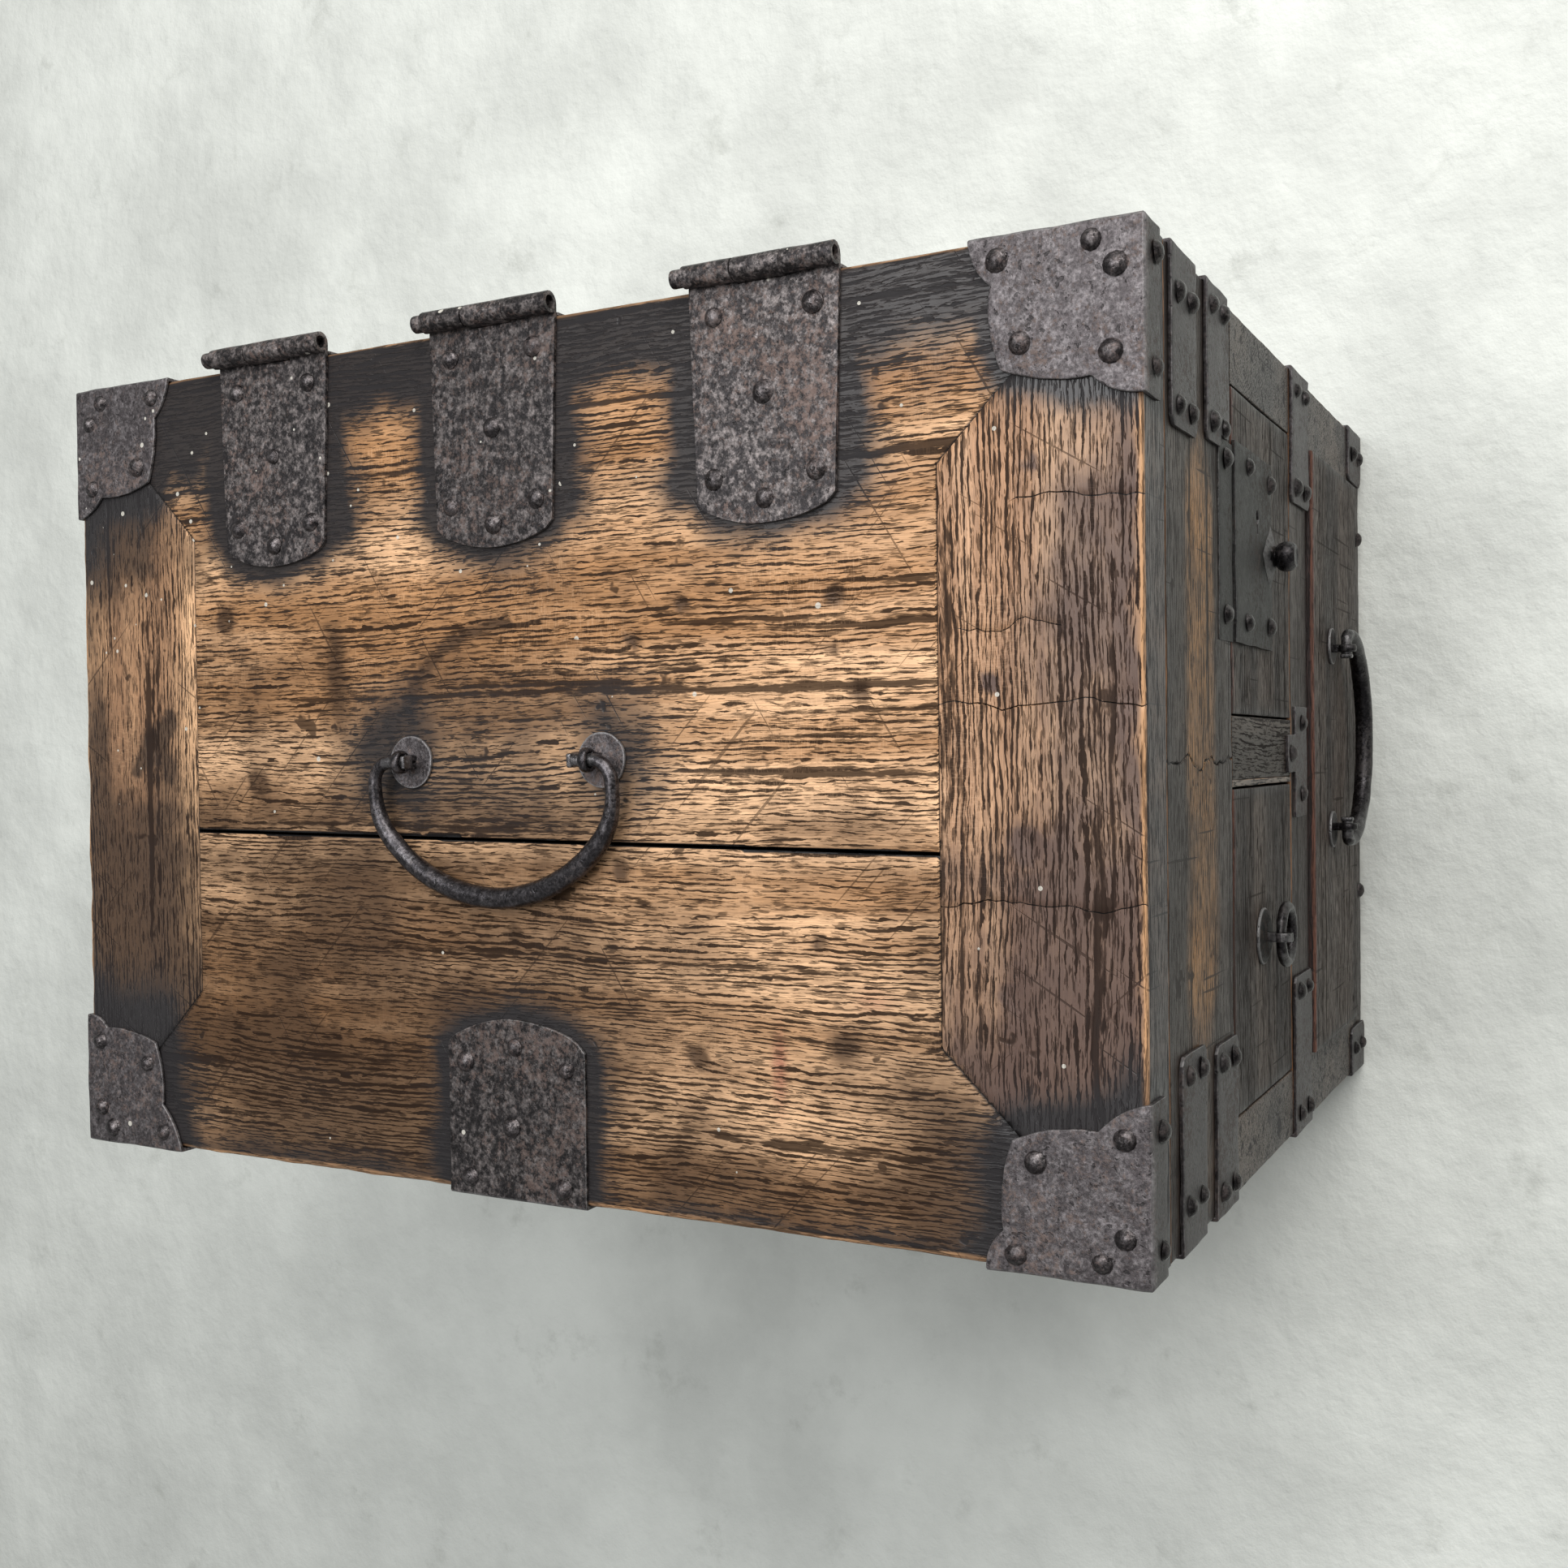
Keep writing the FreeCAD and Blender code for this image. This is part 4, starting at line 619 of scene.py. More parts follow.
def iron_group() -> bpy.types.NodeTree:
    """Old forged iron: broad mottling, rust bloom, fine scale and pits.

    Returns:
        The group.
    """
    name = "forged_scale"
    if name in bpy.data.node_groups:
        return bpy.data.node_groups[name]
    desk, given, result = new_group(name, ("Vector",), ("Mottle", "Rust", "Scale", "Pits"))
    place = given.outputs["Vector"]
    desk.feed(result.inputs["Mottle"], desk.noise(place, 310.0, 8.0, 0.76))
    bloom = desk.noise(place, 430.0, 7.0, 0.74)
    where = desk.noise(place, 26.0, 3.0, 0.6)
    raised = desk.scaled(where, 0.55, bloom)
    desk.feed(result.inputs["Rust"], desk.step(raised, 0.79, 0.94))
    desk.feed(result.inputs["Scale"], desk.noise(place, 900.0, 3.0, 0.6))
    pits = desk.noise(place, 420.0, 2.0)
    desk.feed(result.inputs["Pits"], desk.step(pits, 0.63, 0.70))
    return desk.tree


class Grain(Enum):
    """Which way the grain runs."""

    ALONG_X = "X"
    ALONG_Y = "Y"
    ALONG_Z = "Z"


@dataclass(frozen=True)
class Finish:
    """A finish that makes its material once."""

    name: str

    def material(self) -> bpy.types.Material:
        """The material, made when it is first asked for."""
        found = bpy.data.materials.get(self.name)
        if found:
            return found
        made = bpy.data.materials.new(self.name)
        made.use_nodes = True
        made.node_tree.nodes.clear()
        self.dress(Desk(made.node_tree))
        return made

    def dress(self, desk: Desk) -> None:
        """Lays out the nodes. Each kind of finish has its own."""
        raise NotImplementedError


@dataclass(frozen=True)
class WoodFinish(Finish):
    """Old open-pored wood under worn lacquer."""

    grain: Grain
    light: Colour
    deep: Colour
    pore: Colour = (0.014, 0.011, 0.010)
    bare: Colour = (0.56, 0.31, 0.155)
    glow: Colour = (0.30, 0.120, 0.050)
    soot_and_shade: Colour = (0.021, 0.019, 0.020)
    murk: Colour = (0.060, 0.031, 0.015)
    density: float = 0.0
    pore_share: float = 0.94
    grime: float = 0.5
    gloss: float = 0.46
    sheen: float = 0.42
    relief: float = 0.35

    def along_grain(self, desk: Desk) -> Socket:
        """Object coordinates, shifted from board to board, with the grain along Y."""
        place = desk.add("ShaderNodeTexCoord").outputs["Object"]
        shift = desk.scaled(desk.attribute("board"), 7.0)
        place = desk.add("ShaderNodeVectorMath", {0: place, 1: shift}, operation="ADD").outputs[0]
        if self.grain is Grain.ALONG_Y:
            return place
        parts = desk.add("ShaderNodeSeparateXYZ", {0: place}).outputs
        order = (1, 0, 2) if self.grain is Grain.ALONG_X else (0, 2, 1)
        turned = {number: parts[axis] for number, axis in enumerate(order)}
        return desk.add("ShaderNodeCombineXYZ", turned).outputs[0]

    def dress(self, desk: Desk) -> None:
        """Grain, pores, streaks, grime, iron stain, painted shade in gaps and bare worn edges."""
        place = self.along_grain(desk)
        grain = desk.add("ShaderNodeGroup", {"Vector": place, "Density": self.density},
                         node_tree=grain_group())
        age = desk.add("ShaderNodeGroup", {"Vector": place, "Spray": desk.attribute("spray")},
                       node_tree=age_group())
        pores, streaks = grain.outputs["Pores"], grain.outputs["Streaks"]
        fibre, figure = grain.outputs["Fibre"], grain.outputs["Figure"]
        blotches = age.outputs["Blotches"]

        colour = desk.blend(desk.step(figure, 0.36, 0.62), self.deep, self.light)
        tint = desk.blend(desk.step(fibre, 0.3, 0.75), (0.70, 0.68, 0.66), (1.18, 1.16, 1.13))
        colour = desk.blend(1.0, colour, tint, "MULTIPLY")
        glow = desk.scaled(figure, 0.5, desk.attribute("glow"))
        colour = desk.blend(desk.step(glow, 0.42, 0.95), colour, self.glow)
        craze = desk.scaled(grain.outputs["Craze"], 0.2)
        colour = desk.blend(craze, colour, self.light)
        uneven = desk.sum_up("SUBTRACT", blotches, 0.5)
        murk = desk.scaled(uneven, 2.6 * self.grime, desk.attribute("soil"))
        murk = desk.scaled(desk.sum_up("SUBTRACT", figure, 0.5), -0.7, murk)
        murk = desk.step(murk, 0.06, 1.0)
        colour = desk.blend(desk.scaled(murk, 0.93), colour, self.murk)

        rub = desk.scaled(uneven, 1.3, desk.attribute("rub"))
        rub = desk.step(rub, 0.22, 0.75)
        marks = desk.scaled(pores, self.pore_share)
        marks = desk.sum_up("MAXIMUM", marks, desk.scaled(streaks, 0.88))
        for kind, share in (("Dints", 0.8), ("Scratches", 0.6)):
            marks = desk.sum_up("MAXIMUM", marks, desk.scaled(age.outputs[kind], share))
        colour = desk.blend(marks, colour, self.pore)
        worn = desk.scaled(marks, -0.6, rub, clamp=True)
        colour = desk.blend(desk.scaled(worn, 0.9), colour, self.bare)

        # The stain mask is the iron's stain, with painted shade on the lid's front face and along
        # the front boards' edges.
        edge = desk.sum_up("SUBTRACT", fibre, 0.5)
        edge = desk.scaled(edge, 0.35, desk.attribute("stain"))
        edge = desk.scaled(uneven, 0.7, edge)
        edge = desk.scaled(marks, 0.16, edge)
        stain = desk.step(edge, 0.08, 0.68)
        stain = desk.scaled(rub, -0.45, stain, clamp=True)
        colour = desk.blend(desk.scaled(stain, 0.985), colour, self.soot_and_shade)
        # Near black where the crack mask is set: the splits, and painted shade in the lid's open
        # seam and the keyhole.
        crack = desk.attribute("crack")
        colour = desk.blend(desk.step(crack, 0.35, 0.8), colour, DEEP_GAP)
        colour = desk.blend(desk.scaled(age.outputs["Specks"], 0.8), colour, PALE_FLECK)

        dull = desk.scaled(marks, 0.22, self.gloss)
        dull = desk.scaled(stain, -0.12, dull)
        dull = desk.scaled(uneven, 0.35, dull, clamp=True)
        height = desk.scaled(marks, -0.8)
        height = desk.scaled(fibre, 0.35, height)
        height = desk.scaled(figure, 0.8, height)
        height = desk.scaled(age.outputs["Specks"], 0.7, height)
        height = desk.scaled(blotches, 0.7, height)
        shader = desk.surface(colour, dull, height, self.relief * MM)
        level = desk.scaled(marks, -0.85 * self.sheen, self.sheen, clamp=True)
        level = desk.scaled(stain, 0.07, level)
        desk.feed(shader.inputs["Specular IOR Level"], level)


@dataclass(frozen=True)
class IronFinish(Finish):
    """Forged iron, darkened by age and by painted shade, with rust bloom and rubbed edges."""

    dark: Colour
    mid: Colour
    rust: Colour = (0.185, 0.140, 0.122)
    bright: Colour = (0.34, 0.33, 0.33)
    rust_share: float = 0.5
    gloss: float = 0.46
    metal: float = 0.72
    relief: float = 0.16

    def dress(self, desk: Desk) -> None:
        """Mottled scale, rust, painted shade, pits and bright rubbed rims."""
        place = desk.add("ShaderNodeTexCoord").outputs["Object"]
        scale = desk.add("ShaderNodeGroup", {"Vector": place}, node_tree=iron_group())
        age = desk.add("ShaderNodeGroup", {"Vector": place, "Spray": desk.attribute("spray")},
                       node_tree=age_group())
        specks = desk.scaled(age.outputs["Specks"], 0.8)
        mottle, rust = scale.outputs["Mottle"], scale.outputs["Rust"]
        colour = desk.blend(desk.step(mottle, 0.44, 0.65), self.dark, self.mid)
        grit = desk.step(scale.outputs["Scale"], 0.25, 0.75)
        grit = desk.blend(grit, (0.5, 0.5, 0.5), (1.45, 1.45, 1.45))
        colour = desk.blend(1.0, colour, grit, "MULTIPLY")
        colour = desk.blend(desk.scaled(rust, self.rust_share), colour, self.rust)
        # Painted shade: the colour is darkened by the stored shade.
        shade = desk.sum_up("SUBTRACT", 1.0, desk.attribute("shade"))
        colour = desk.blend(1.0, colour, shade, "MULTIPLY")
        rub = desk.scaled(mottle, 0.9, desk.attribute("rub"))
        rub = desk.step(rub, 0.85, 1.4)
        colour = desk.blend(desk.scaled(rub, 0.5), colour, self.bright)
        colour = desk.blend(desk.scaled(scale.outputs["Pits"], 0.6), colour, IRON_PIT)
        colour = desk.blend(specks, colour, PALE_FLECK)
        dull = desk.scaled(rust, 0.22, self.gloss)
        uneven = desk.sum_up("SUBTRACT", mottle, 0.5)
        dull = desk.scaled(uneven, 0.5, dull, clamp=True)
        metal = desk.scaled(rust, -0.35, self.metal, clamp=True)
        metal = desk.sum_up("SUBTRACT", metal, specks, clamp=True)
        height = desk.scaled(mottle, 1.6, scale.outputs["Scale"])
        height = desk.scaled(scale.outputs["Pits"], -0.9, height)
        height = desk.scaled(rust, 0.35, height)
        shader = desk.surface(colour, dull, height, self.relief * MM)
        desk.feed(shader.inputs["Metallic"], metal)


@dataclass(frozen=True)
class FloorFinish(Finish):
    """Pale trowelled plaster."""

    tone: Colour = (0.70, 0.715, 0.67)

    def dress(self, desk: Desk) -> None:
        """Soft clouds, a few grey scuffs and shallow trowel marks."""
        place = desk.add("ShaderNodeTexCoord").outputs["Object"]
        clouds = desk.noise(place, 6.0, 7.0, 0.62)
        scuffs = desk.step(desk.noise(place, 21.0, 7.0, 0.72), 0.56, 0.74)
        colour = desk.blend(desk.step(clouds, 0.3, 0.7), tuple(0.86 * part for part in self.tone),
                            tuple(1.10 * part for part in self.tone))
        colour = desk.blend(desk.scaled(scuffs, 0.34), colour, (0.34, 0.35, 0.31))
        trowel = desk.noise(place, 19.0, 7.0, 0.6)
        desk.surface(colour, 0.75, trowel, 0.006, 0.8)


LID_BOARD = WoodFinish("lid_board_keyaki", Grain.ALONG_Y, light=(0.86, 0.54, 0.315),
                       glow=(0.36, 0.085, 0.065), deep=(0.44, 0.225, 0.098),
                       pore=(0.020, 0.011, 0.007), sheen=0.27, grime=0.56)
LID_BATTEN = WoodFinish("lid_batten_keyaki", Grain.ALONG_X, light=(0.78, 0.50, 0.31),
                        deep=(0.42, 0.23, 0.125), density=-0.01, murk=(0.078, 0.046, 0.038),
                        pore=(0.020, 0.012, 0.009), grime=0.56, sheen=0.36)
LID_BATTEN_BACK = replace(LID_BATTEN, name="lid_batten_back_keyaki", murk=(0.052, 0.030, 0.018),
                          light=(0.82, 0.50, 0.28))
CASE_RAIL = WoodFinish("case_rail_aged", Grain.ALONG_X, light=(0.118, 0.088, 0.070),
                       deep=(0.050, 0.040, 0.034), bare=(0.44, 0.21, 0.095),
                       glow=(0.47, 0.225, 0.066), murk=(0.024, 0.019, 0.017),
                       soot_and_shade=(0.025, 0.020, 0.018), pore_share=0.92, sheen=0.11)
DRAWER_FRONT = WoodFinish("drawer_front_aged", Grain.ALONG_X, light=(0.100, 0.080, 0.069),
                          deep=(0.036, 0.030, 0.028), density=0.01, bare=(0.20, 0.085, 0.055),
                          glow=(0.165, 0.060, 0.046), murk=(0.020, 0.017, 0.017), grime=0.7,
                          soot_and_shade=(0.022, 0.018, 0.017), pore_share=0.95, sheen=0.12)
STILE = WoodFinish("stile_aged", Grain.ALONG_Z, light=(0.105, 0.084, 0.070),
                   deep=(0.042, 0.034, 0.029), bare=(0.34, 0.18, 0.09),
                   soot_and_shade=(0.022, 0.018, 0.017), sheen=0.12)
SHIM = WoodFinish("shim_pale", Grain.ALONG_Z, light=(0.34, 0.28, 0.23), deep=(0.17, 0.140, 0.12),
                  density=-0.06, grime=0.6, sheen=0.2)
CASE_SIDE = WoodFinish("case_side_aged", Grain.ALONG_Y, light=(0.150, 0.106, 0.076),
                       deep=(0.070, 0.052, 0.041), bare=(0.34, 0.19, 0.10),
                       murk=(0.032, 0.025, 0.021), grime=0.6, sheen=0.2)
END_CASE = WoodFinish("case_end_aged", Grain.ALONG_Z, light=(0.115, 0.086, 0.065),
                      deep=(0.053, 0.042, 0.036), murk=(0.026, 0.021, 0.019), grime=0.7, sheen=0.18)
INNER_WOOD_Y = WoodFinish("inner_wood_long", Grain.ALONG_Y, light=(0.42, 0.29, 0.17),
                          deep=(0.30, 0.20, 0.12), density=-0.10, grime=0.3, pore_share=0.5)
INNER_WOOD_X = replace(INNER_WOOD_Y, name="inner_wood_cross", grain=Grain.ALONG_X)
STRAP_IRON = IronFinish("forged_strap", dark=(0.084, 0.073, 0.075), mid=(0.196, 0.177, 0.180),
                        rust=(0.190, 0.125, 0.100))
HINGE_IRON = IronFinish("forged_hinge", dark=(0.036, 0.032, 0.033), mid=(0.262, 0.229, 0.221),
                        rust=(0.225, 0.150, 0.125), rust_share=0.6)
BAIL_IRON = IronFinish("forged_bail", dark=(0.046, 0.042, 0.045), mid=(0.112, 0.102, 0.107),
                       gloss=0.29, rust_share=0.2, metal=0.85, relief=0.09)
LOCK_IRON = IronFinish("forged_lock", dark=(0.022, 0.021, 0.020), mid=(0.062, 0.060, 0.057),
                       rust=(0.115, 0.066, 0.046), rust_share=0.4, gloss=0.52)
NAIL_IRON = IronFinish("forged_nail", dark=(0.048, 0.042, 0.043), mid=(0.180, 0.160, 0.160),
                       rust=(0.185, 0.122, 0.105), rust_share=0.35, gloss=0.30, metal=0.85)
FLOOR = FloorFinish("plaster_floor")


# ---- Wood --------------------------------------------------------------------------------
@dataclass(frozen=True)
class Crack:
    """A split across a board: a jagged line square to an axis."""

    axis: int
    at: float
    depth: float = 1.2
    jag: float = 2.2
    width: float = 0.7
    low: float = -1000.0
    high: float = 1000.0


@dataclass(frozen=True)
class Dint:
    """A knock in a board's upper face."""

    x: float
    y: float
    long: float = 4.0
    wide: float = 2.0
    turn: float = 0.0
    depth: float = 0.6


@dataclass
class Plank:
    """A board with worn arrises, hollows and splits. Sizes are millimetres."""

    name: str
    low: Triple
    high: Triple
    finish: WoodFinish
    cell: float = 6.0
    arris: float = 0.7
    worn: dict[str, float] = field(default_factory=dict)
    outline: Sequence[Pair] = ()
    cracks: Sequence[Crack] = ()
    dints: Sequence[Dint] = ()
    hollow: float = 0.12
    stain: Callable[[np.ndarray], np.ndarray] | None = None
    soil: Callable[[np.ndarray], np.ndarray] | None = None
    glow: Callable[[np.ndarray], np.ndarray] | None = None
    # Painted shade along the board's edges, where it meets its neighbours, added to the stain mask.
    seam_dirt: float = 0.0

    @classmethod
    def over(cls, node: str, finish: WoodFinish, **settings: object) -> "Plank":
        """A board that fills a CAD node's box and is named after it."""
        return cls(node + "_wood", *board_between(node), finish, **settings)

    @property
    def thin(self) -> int:
        """The axis along which the board is thinnest."""
        return int(np.argmin(np.array(self.high) - np.array(self.low)))

    def start(self) -> Piece:
        """A grid over the broad face, drawn out to the board's thickness."""
        low, high = np.array(self.low), np.array(self.high)
        size, thin = high - low, self.thin
        turn = ((0.0, math.pi / 2.0, 0.0), (math.pi / 2.0, 0.0, 0.0), (0.0, 0.0, 0.0))[thin]
        first, second = ((2, 1), (0, 2), (0, 1))[thin]
        middle = (low + high) / 2.0
        middle[thin] = high[thin]
        deselect()
        bpy.ops.mesh.primitive_grid_add(
            x_subdivisions=max(1, round(size[first] / self.cell)),
            y_subdivisions=max(1, round(size[second] / self.cell)),
            size=1.0, location=tuple(middle * MM), rotation=turn)
        board = added((size[first] * MM, size[second] * MM, 1.0))
        if self.outline:
            self.trim(board)
        drop = [0.0, 0.0, 0.0]
        drop[thin] = -size[thin] * MM
        with editing(board):
            bpy.ops.mesh.select_all(action="SELECT")
            bpy.ops.mesh.extrude_region_move(TRANSFORM_OT_translate={"value": drop})
            bpy.ops.mesh.select_all(action="SELECT")
            bpy.ops.mesh.normals_make_consistent(inside=False)
        return board

    def trim(self, board: Piece) -> None:
        """Cuts a level grid to the outline.

        Args:
            board: the grid.
        """
        corners = np.array(self.outline)
        with editing(board):
            for start, end in zip(corners, np.roll(corners, -1, axis=0)):
                run = (end - start) / np.linalg.norm(end - start)
                bpy.ops.mesh.select_all(action="SELECT")
                bpy.ops.mesh.bisect(plane_co=(start[0] * MM, start[1] * MM, 0.0),
                                    plane_no=(-run[1], run[0], 0.0), threshold=1e-6)
            mesh = bmesh.from_edit_mesh(board.data)
            middles = np.array([face.calc_center_median()[:2] for face in mesh.faces]) / MM
            outside = outside_distance(middles, self.outline) > 1e-6
            for face, gone in zip(mesh.faces, outside):
                face.select_set(bool(gone))
            bpy.ops.mesh.delete(type="FACE")

    def rows(self, board: Piece) -> None:
        """Adds edge lines beside the arrises and the splits."""
        largest = max([self.arris, *self.worn.values()])
        shares = (0.3, 0.75, 1.4) if largest > 1.0 else (0.55, 1.3)
        offsets = [share * largest for share in shares]
        for axis in range(3):
            places = []
            for offset in offsets:
                places += [self.low[axis] + offset, self.high[axis] - offset]
            for crack in self.cracks:
                if crack.axis == axis:
                    places += [crack.at - crack.width, crack.at, crack.at + crack.width]
            saw(board, axis, places)

    def round_off(self, points: np.ndarray) -> tuple[np.ndarray, np.ndarray]:
        """Rounds the arrises unevenly.

        Args:
            points: the vertices.

        Returns:
            The moved vertices, and how rubbed each one is.
        """
        reach = {}
        for axis, letter in enumerate("xyz"):
            reach["-" + letter] = points[:, axis] - self.low[axis]
            reach["+" + letter] = self.high[axis] - points[:, axis]
        uneven = 1.0 + 0.40 * rough(points, 22.0, 3.1) + 0.25 * rough(points, 7.0, 9.4)
        rub = np.zeros(len(points))
        faces = list(reach)
        for number, first in enumerate(faces):
            for second in faces[number + 1:]:
                if first[1] == second[1]:
                    continue
                radius = self.worn.get(first + second, self.arris)
                if radius <= 0.0:
                    continue
                limit = np.clip(radius * uneven, 0.15, None)
                across, along = reach[first], reach[second]
                length = np.hypot(limit - across, limit - along)
                inside = (across < limit) & (along < limit) & (length > limit)
                shrink = np.where(inside, limit / np.maximum(length, 1e-9), 1.0)
                near = np.exp(-(np.hypot(across, along) / (0.9 * radius)) ** 2)
                reach[first] = np.where(inside, limit - (limit - across) * shrink, across)
                reach[second] = np.where(inside, limit - (limit - along) * shrink, along)
                rub = np.maximum(rub, near * min(1.0, radius / 1.4))
        moved = points.copy()
        for axis, letter in enumerate("xyz"):
            nearer_low = points[:, axis] - self.low[axis] < self.high[axis] - points[:, axis]
            moved[:, axis] = np.where(nearer_low, self.low[axis] + reach["-" + letter],
                                      self.high[axis] - reach["+" + letter])
        return moved, rub

    def split(self, points: np.ndarray) -> tuple[np.ndarray, np.ndarray]:
        """Opens the splits: the lines wander and their middle sinks.

        Args:
            points: the vertices.

        Returns:
            The moved vertices, and where the splits are, from 0 to 1.
        """
        mark = np.zeros(len(points))
        thin = self.thin
        for crack in self.cracks:
            away = points[:, crack.axis] - crack.at
            along = 3 - crack.axis - thin
            inside = (points[:, along] > crack.low) & (points[:, along] < crack.high)
            middle = (np.abs(away) < crack.width * 0.5) & inside
            for sign, face in ((1.0, self.high[thin]), (-1.0, self.low[thin])):
                on_face = np.abs(points[:, thin] - face) < 4.0
                fade = 0.55 + 0.45 * rough(points, 15.0, crack.at)
                points[:, thin] -= np.where(middle & on_face, sign * crack.depth * fade, 0.0)
            mark = np.maximum(mark, middle)
            flat = points.copy()
            flat[:, crack.axis] = crack.at
            wander = crack.jag * (rough(flat, 17.0, 1.7) + 0.5 * rough(flat, 5.0, 4.2))
            weight = np.clip(1.0 - np.abs(away) / (4.0 * self.cell), 0.0, 1.0)
            points[:, crack.axis] += wander * weight
        return points, mark

    def knock(self, points: np.ndarray) -> np.ndarray:
        """Presses the dints into the upper face."""
        depth = np.zeros(len(points))
        for dint in self.dints:
            turn = math.radians(dint.turn)
            dx, dy = points[:, 0] - dint.x, points[:, 1] - dint.y
            long = (dx * math.cos(turn) + dy * math.sin(turn)) / dint.long
            wide = (dy * math.cos(turn) - dx * math.sin(turn)) / dint.wide
            depth = np.maximum(depth, dint.depth * np.exp(-(long ** 2 + wide ** 2)))
        points[:, 2] -= np.where(self.high[2] - points[:, 2] < 1.0, depth, 0.0)
        return points

    def build(self) -> Piece:
        """Makes the board.

        Returns:
            The board, without its material.
        """
        board = self.start()
        self.rows(board)
        raw = read_mm(board)
        points, rub = self.round_off(raw)
        thin = self.thin
        lumps = self.hollow * (rough(points, 48.0, 0.7) + 0.5 * rough(points, 15.0, 5.5) - 0.6)
        on_top = self.high[thin] - raw[:, thin] < 0.5
        below = raw[:, thin] - self.low[thin] < 0.5
        points[:, thin] += np.where(on_top, lumps, 0.0) - np.where(below, lumps, 0.0)
        points, mark = self.split(points)
        points = self.knock(points)
        write_mm(board, points)
        paint(board, "rub", rub)
        paint(board, "crack", mark)
        paint(board, "board", np.full(len(points), hash_of(self.name)))
        paint(board, "spray", spray(points))
        for name, rule in (("stain", self.stain), ("soil", self.soil), ("glow", self.glow)):
            values = rule(raw) if rule else np.zeros(len(points))
            # Painted shade in the gaps round the board goes into the stain mask.
            if name == "stain" and self.seam_dirt:
                gaps = np.minimum(raw - np.array(self.low), np.array(self.high) - raw)
                gaps[:, thin] = 1000.0
                values = values + self.seam_dirt * np.exp(-gaps.min(axis=1) / 3.2)
            paint(board, name, values)
        board.data.materials.clear()
        board.data.materials.append(self.finish.material())
        board.name = self.name
        return board

    def fit(self, body: str, slot: str, *nodes: str) -> None:
        """Makes the board and hands it over."""
        hand_over(self.build(), self.finish, body, slot, *nodes)


def chop(board: Piece, low: Triple, high: Triple) -> None:
    """Cuts a square-sided hole or pocket.

    Args:
        board: what is cut.
        low: the low corner of the hole in millimetres.
        high: the high corner.
    """
    deselect()
    middle = [(a + b) / 2.0 * MM for a, b in zip(low, high)]
    bpy.ops.mesh.primitive_cube_add(size=1.0, location=middle)
    cutter = added([(b - a) * MM for a, b in zip(low, high)])
    modify(board, "BOOLEAN", operation="DIFFERENCE", object=cutter, solver="EXACT")
    bpy.data.objects.remove(cutter)


def hash_of(text: str) -> float:
    """A number from 0 to 1 that depends only on a name."""
    return (sum((place + 1) * ord(letter) for place, letter in enumerate(text)) * 0.6180339) % 1.0


def spray(points: np.ndarray) -> np.ndarray:
    """How thickly pale flecks lie: most at one corner of the lid."""
    thick = 0.55 * patch(points[:, 0], points[:, 1], (120.0, 190.0), (95.0, 130.0)) + 0.05
    return np.where(points[:, 2] > LID_TOP - 3.0, thick, 0.0)


def front_shade(points: np.ndarray) -> np.ndarray:
    """How much darker the iron on the front is painted than on the lid: painted shade, as the front
    faces away from the light.
    """
    on_front = (points[:, 1] < FRONT_Y - 0.3) & (points[:, 2] < LID_TOP - 1.0)
    return np.where(on_front, FRONT_SHADE, 0.0)


def board_between(node: str) -> tuple[Triple, Triple]:
    """The corners of a CAD node's box in millimetres."""
    low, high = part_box(node)
    return tuple(part / MM for part in low), tuple(part / MM for part in high)


